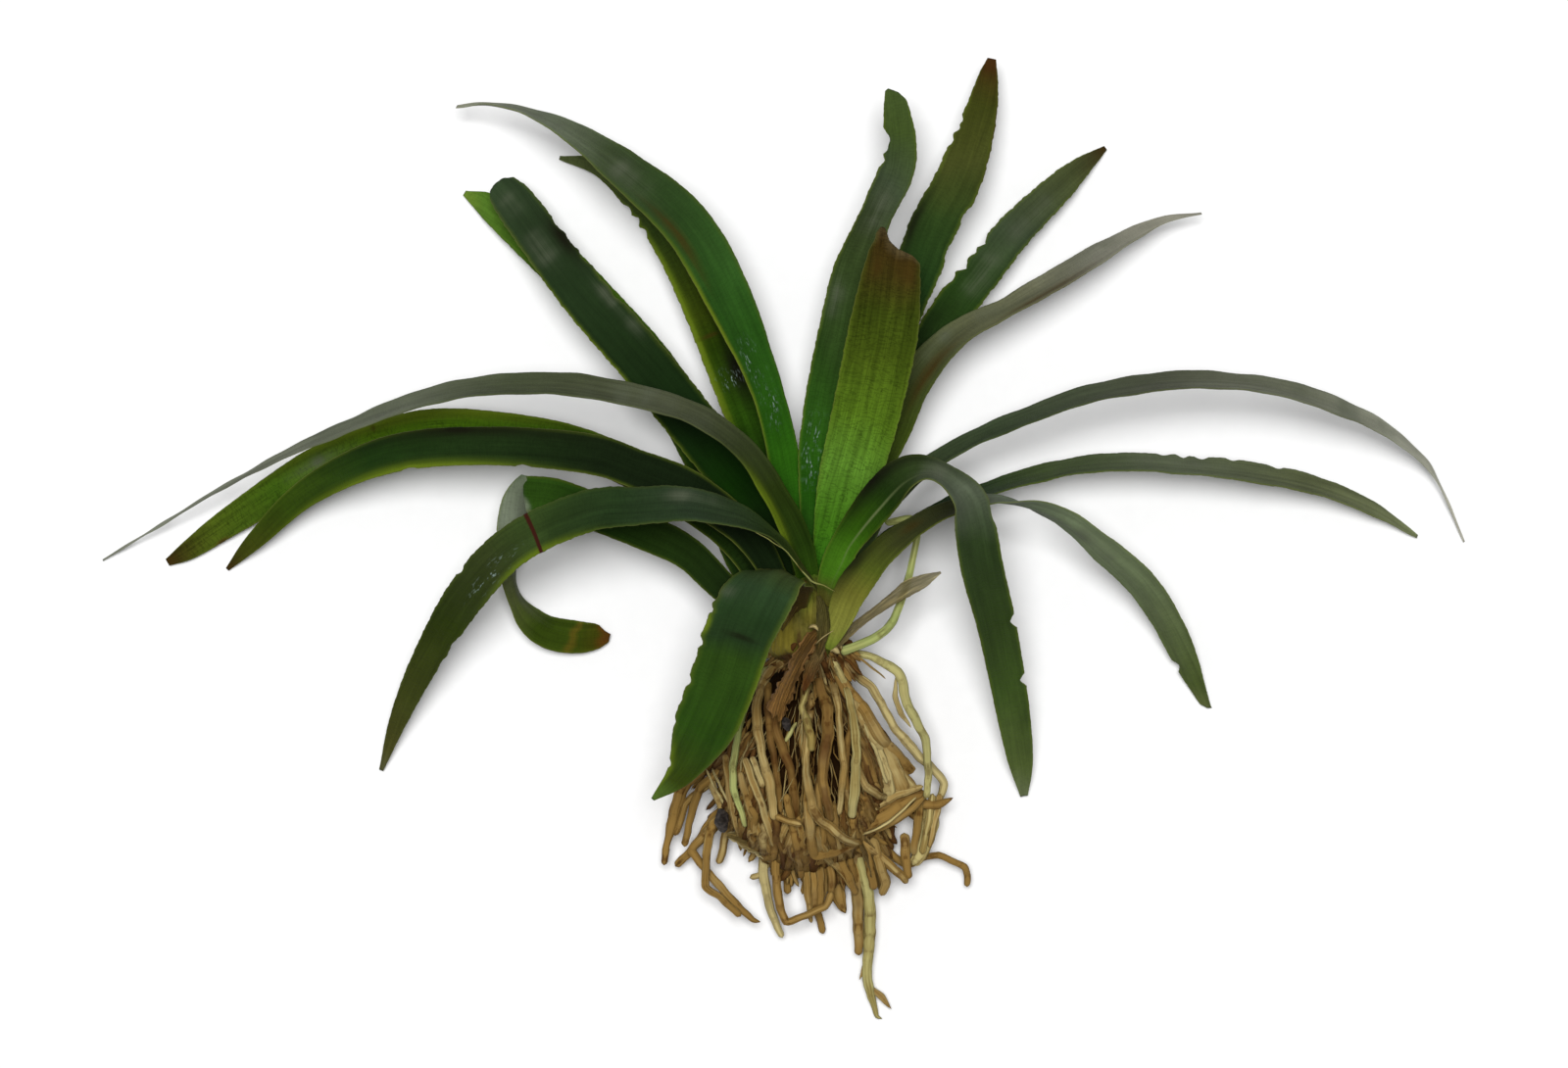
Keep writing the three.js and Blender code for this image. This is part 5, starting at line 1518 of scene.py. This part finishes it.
def shoulder_strands():
    """Fine roots that run down the mat's rounded right shoulder, away from the crown."""
    dice = np.random.default_rng(15)
    skins = []
    for _ in range(90):
        y = dice.uniform(-44, -21) - dice.uniform(6, 13) * np.linspace(0, 1, 5)
        turn = dice.uniform(0.25, 1.35) + dice.uniform(-0.25, 0.35) * np.linspace(0, 1, 5)
        turn = np.clip(turn + dice.normal(0, 0.05, 5), 0.1, 1.45)
        x = right_side(y) - CORE_INSET - shoulder_width(y) * (1 - np.sin(turn))
        height = np.maximum(mat_height(x, y) * np.cos(turn), 0.8)
        radius = dice.uniform(0.35, 0.85) * np.array([0.7, 1, 1, 0.9, 0.5])
        tints = (dice.uniform(0.2, 1), dice.uniform(0, 0.5), 0)
        skins.append(tube(np.stack([x, y, height, radius], axis=1), None, tints,
                          seed=int(dice.integers(1, 900)), sides=8, step=0.8))
    return skins


# Roots that show between the thick ones: layer, tints, flatness and stations. Their brown tints are partly
# painted shade, deep in the bundle.
INNER_ROOTS = [
    (0.2, (0.5, 0.1, 0), 0.85, [
        [-3.2, -29, 18, 0.7], [-3.3, -35, 18, 0.8], [-2.8, -40, 18, 0.8], [-2, -45, 18, 0.7],
        [-1.2, -51, 18, 0.7], [-0.6, -56, 18, 0.6],
    ]),
    (0.2, (0, 0.7, 0.4), 1, [
        [2.6, -37.4, 18, 0.4], [1, -40, 18, 0.45], [0, -41.6, 18, 0.3],
    ]),
    (0.3, (0.5, 0.1, 0), 0.85, [
        [11.6, -27, 18, 0.5], [13.1, -32.4, 18, 0.6], [13.5, -38, 18, 0.6], [12.8, -43, 18, 0.7],
        [12.6, -50, 18, 0.6], [13, -56, 16, 0.5],
    ]),
    (1.5, (0.2, 0.2, 0), 0.85, [
        [-1.8, -56.6, 18, 0.7], [1, -57.6, 18, 0.7], [3.6, -58.4, 18, 0.7],
    ]),
    (0.8, (0, 0.45, 0), 0.85, [
        [-8, -44.6, 14, 0.7], [-6.4, -49.4, 14, 0.85], [-4.8, -53.6, 14, 0.8], [-3.2, -58.4, 14, 0.85],
        [-2, -62.6, 13, 0.7],
    ]),
    (1.1, (0, 0.5, 0), 0.85, [
        [-6.6, -44.4, 14, 0.6], [-5, -48.4, 14, 0.7], [-4.3, -50.8, 14, 0.7],
    ]),
    (0.5, (0.1, 0.3, 0), 0.85, [
        [-9, -47.6, 13, 0.7], [-7.6, -53, 13, 0.8], [-6, -57.6, 12, 0.8], [-4, -62, 11, 0.7],
    ]),
    (0.4, (0.2, 0.3, 0), 0.85, [
        [-12, -44, 13, 0.8], [-11.2, -50, 12, 0.8], [-10.4, -56, 11, 0.8], [-9, -61, 9, 0.6],
    ]),
    (0.6, (0, 0.4, 0), 0.85, [
        [-15, -49, 13, 0.8], [-13.8, -52.6, 13, 0.8], [-12.6, -55.4, 13, 0.6],
    ]),
    (0.9, (0, 0.8, 0), 1, [
        [-15.8, -47, 13.6, 0.25], [-14.4, -50.4, 13.6, 0.3], [-11.8, -54.6, 13.6, 0.25],
    ]),
    (0.9, (0, 0.8, 0), 1, [
        [-14.6, -46.8, 14, 0.25], [-12.8, -51, 14, 0.3], [-11, -54.4, 14, 0.2],
    ]),
    (0.6, (0.4, 0.1, 0), 0.85, [
        [0.4, -52, 18, 0.8], [1.6, -58, 16, 0.9], [3, -65, 12, 0.9], [3.6, -69.4, 9, 0.6],
    ]),
    (0.4, (0.4, 0.2, 0), 0.85, [
        [8, -46, 20, 0.8], [6.8, -53, 19, 0.9], [8, -60, 15, 0.9], [7.6, -66, 11, 0.8],
    ]),
    (0.5, (0.3, 0.2, 0), 0.85, [
        [10, -54, 18, 0.8], [10.6, -60, 15, 0.9], [11.8, -66, 11, 0.9], [14.8, -72.6, 8, 0.7],
    ]),
    (0.5, (0, 0.3, 0), 0.85, [
        [5, -62, 14, 0.8], [9, -65.4, 12, 0.8], [12, -68, 10, 0.8], [14.6, -72.4, 8, 0.6],
    ]),
    (0.7, (0.2, 0.4, 0), 0.85, [
        [14.6, -46, 18, 0.7], [16.6, -50.4, 16, 0.8], [20, -52.6, 14, 0.8], [24, -53, 13, 0.7],
    ]),
    (0.4, (0.4, 0.1, 0), 0.85, [
        [9, -60, 15, 0.8], [14, -62.4, 13, 0.9], [18, -64.4, 11, 0.9], [20.4, -67, 9, 0.7],
    ]),
]
tangle_skins = [mat_core(), *collar(), *shoulder_strands()]
for number, (layer, tints, flat, stations) in enumerate(INNER_ROOTS):
    tangle_skins.append(tube(stations, layer, tints, flat, seed=200 + number))
for name, skins in [("root_mat_tangle", tangle_skins), ("root_mat_strands", bundle_strands())]:
    dress(closed_skins(name, skins), root_finish, "root_mat")

# Skins of dead roots: thin bands that hang between the thick roots, at the lower end of the bundle and on
# its right, where narrow ones lie over each other as a fan between two roots.
root_skin = papery("5d4a26", "806a3e")
pale_skin = papery("6d5c34", "a2946a")
fan_skins = [
    tube([[13.8, -32.4, 22, 0.5], [15.8, -40, 19.6, 1.3], [17, -46, 17.6, 1.8], [18, -52.6, 15, 1.9]],
         tints=(0.25, 0.5, 0), flat=0.22, seed=301),
    tube([[14.4, -33, 22, 0.5], [17.4, -40.4, 19.8, 1.2], [19.8, -46.4, 17.2, 1.7],
          [21.4, -52.6, 14.6, 1.6]],
         tints=(0.1, 0.7, 0), flat=0.22, seed=302),
    tube([[15, -33.4, 22, 0.4], [18.6, -40, 19.6, 1.1], [22, -45.8, 16.6, 1.5], [24.6, -52, 13.6, 1.7]],
         tints=(0, 0.4, 0), flat=0.22, seed=303),
    tube([[15.4, -36, 22, 0.25], [18.6, -43, 19.6, 0.4], [21, -50, 16.6, 0.4]],
         tints=(0, 1, 0), seed=304),
    tube([[14.8, -36, 21.6, 0.2], [16.2, -43.4, 19.4, 0.3], [17.6, -49, 17.2, 0.2]],
         tints=(0, 0.9, 0), seed=305),
    tube([[12, -60.8, 15.6, 0.5], [16, -59.2, 15.4, 0.9], [20.6, -56.6, 14.8, 1.1],
          [25, -53.6, 14.2, 0.9], [28.4, -52, 13.8, 0.5]],
         tints=(0.35, 0.1, 0), flat=0.3, seed=306),
    tube([[14, -57.6, 15, 0.6], [18, -54.8, 14.8, 0.9], [23, -52.2, 14.4, 1], [28.4, -50.4, 13.4, 0.5]],
         tints=(0.1, 0.4, 0), flat=0.35, seed=307),
    tube([[13, -59.4, 14.6, 0.6], [18.4, -56.6, 14.4, 1], [23.4, -53.6, 13.8, 1], [28.8, -51.6, 12.8, 0.5]],
         tints=(0.5, 0, 0), flat=0.35, seed=309),
    tube([[14.4, -60.8, 16.4, 0.2], [19.6, -59, 16, 0.3], [23.4, -56.2, 15.4, 0.3], [27, -52.6, 14.8, 0.2]],
         tints=(0, 0.7, 0), seed=308),
]
dress(closed_skins("skin_fan", fan_skins), root_finish)
add_skin("skin_low_left", "root", pale_skin, [
    [-11.6, -60.4, 12, 1, 0],
    [-8.6, -61.2, 12, 3, 10],
    [-5.4, -62.6, 12, 4, 10],
    [-2.2, -65.4, 11.6, 1.6, 0],
], seed=47, cup=0.3)
add_skin("skin_low_middle", "root", pale_skin, [
    [-1.8, -57.4, 15.6, 1.4, 0],
    [-0.2, -60.4, 15, 3, 0],
    [1.4, -63.4, 13.6, 3.4, 10],
    [3, -67, 11.6, 1.4, 0],
], seed=45, cup=-0.3)
add_skin("skin_low_right", "root", root_skin, [
    [15, -60, 14.6, 1.6, 0],
    [17.4, -64, 13, 3.2, -10],
    [19.4, -68.4, 10.6, 3.4, -10],
    [20.2, -72, 9, 1.2, 0],
], seed=43, cup=0.4)

# Two crumbs of black gravel caught on the bundle: a larger one low on its left and a small one between
# the thick roots in its middle.


def crumb(x, y, z, half_width, half_length, turn, seed):
    """A stone: a ball worn flat, so that its radius is the least distance to any of a few seeded planes."""
    dice = np.random.default_rng(seed)
    round_it = np.linspace(0, 2 * np.pi, 40, endpoint=False)[None, :]
    polar = np.linspace(0.03, 0.97, 28)[:, None] * np.pi
    out = np.stack([
        np.sin(polar) * np.cos(round_it),
        np.sin(polar) * np.sin(round_it),
        np.cos(polar) + 0 * round_it,
    ], axis=-1)
    planes = unit(dice.normal(size=(11, 3)))
    facing = np.einsum("ijk,lk->ijl", out, planes)
    worn = np.where(facing > 0.3, dice.uniform(0.62, 0.85, 11) / np.maximum(facing, 0.3), 9).min(-1)
    ball = out * np.minimum(worn, 1.1)[..., None] * np.array([half_width, half_length, 0.7 * half_width])
    angle = np.radians(turn)
    spun = np.stack([ball[..., 0] * np.cos(angle) - ball[..., 1] * np.sin(angle),
                     ball[..., 0] * np.sin(angle) + ball[..., 1] * np.cos(angle), ball[..., 2]], axis=-1)
    return sighted(np.array([x, y, z], float)) + spun, {"root": np.zeros(3)}


def black_stone(start):
    """Black rock with a fine pale grain."""
    place = start.node("ShaderNodeTexCoord", output=3)
    grain = place.noise(1500.0, 4, 0.6)
    return grain.between(0.4, 0.7).blend(tone("191614"), tone("3a3430")), 0.62 - grain * 0.2, grain, 0.0002


stone_finish = material_of("black_stone", black_stone)
STONES = {
    "grit_left": crumb(-12.6, -57.8, 14.4, half_width=1.6, half_length=2.6, turn=10, seed=61),
    "grit_centre": crumb(0.6, -38, 25.6, half_width=1, half_length=1.5, turn=20, seed=62),
}
for node, stone in STONES.items():
    dress(closed_skins(node + "_stone", [stone]), stone_finish, node)

# The floor, the lights and the camera. A large soft light hangs overhead with a weak one at the upper
# left, and the camera looks straight down from a metre above the white board.
FLOOR = 2  # metres, half its side
SENSOR = 36  # mm
VIEW_WIDTH = 320  # mm seen from side to side at the reading height
floor_mesh = bpy.data.meshes.new("floor")
corners = [(-FLOOR, -FLOOR, 0), (FLOOR, -FLOOR, 0), (FLOOR, FLOOR, 0), (-FLOOR, FLOOR, 0)]
floor_mesh.from_pydata(corners, [], [(0, 1, 2, 3)])
floor = bpy.data.objects.new("floor", floor_mesh)
bpy.context.scene.collection.objects.link(floor)


def white_board(start):
    """A matt white board, all but even."""
    grain = start.node("ShaderNodeTexCoord", output=3).noise(300.0, 2)
    return grain.blend(tone("dedede"), tone("e2e2e2")), grain * 0.02 + 0.85, grain, 0.00002


floor_mesh.materials.append(material_of("white_board", white_board))


def add_light(name, place, size, power, glossy):
    """A round light that shines at the middle of the plant."""
    light = bpy.data.lights.new(name, "AREA")
    light.shape = "DISK"
    light.size = size
    light.energy = power
    lamp = bpy.data.objects.new(name, light)
    lamp.location = place
    lamp.rotation_euler = (-lamp.location).to_track_quat("-Z", "Y").to_euler()
    lamp.visible_glossy = glossy
    bpy.context.scene.collection.objects.link(lamp)


add_light("overhead", (-0.1, 0.35, 3), 1.3, 115, False)
add_light("window", (-0.7, 0.6, 0.9), 0.5, 0.6, True)

world = bpy.data.worlds.new("studio")
world.use_nodes = True
world.node_tree.nodes["Background"].inputs["Color"].default_value = (0.2, 0.2, 0.2, 1)
bpy.context.scene.world = world
bpy.context.scene.view_settings.view_transform = "Standard"

camera_data = bpy.data.cameras.new("camera")
camera_data.sensor_width = SENSOR
camera_data.lens = SENSOR * (EYE_HEIGHT - READING_HEIGHT) / VIEW_WIDTH
camera = bpy.data.objects.new("camera", camera_data)
camera.location = (0, EYE_Y * MM, EYE_HEIGHT * MM)
bpy.context.scene.collection.objects.link(camera)
bpy.context.scene.camera = camera
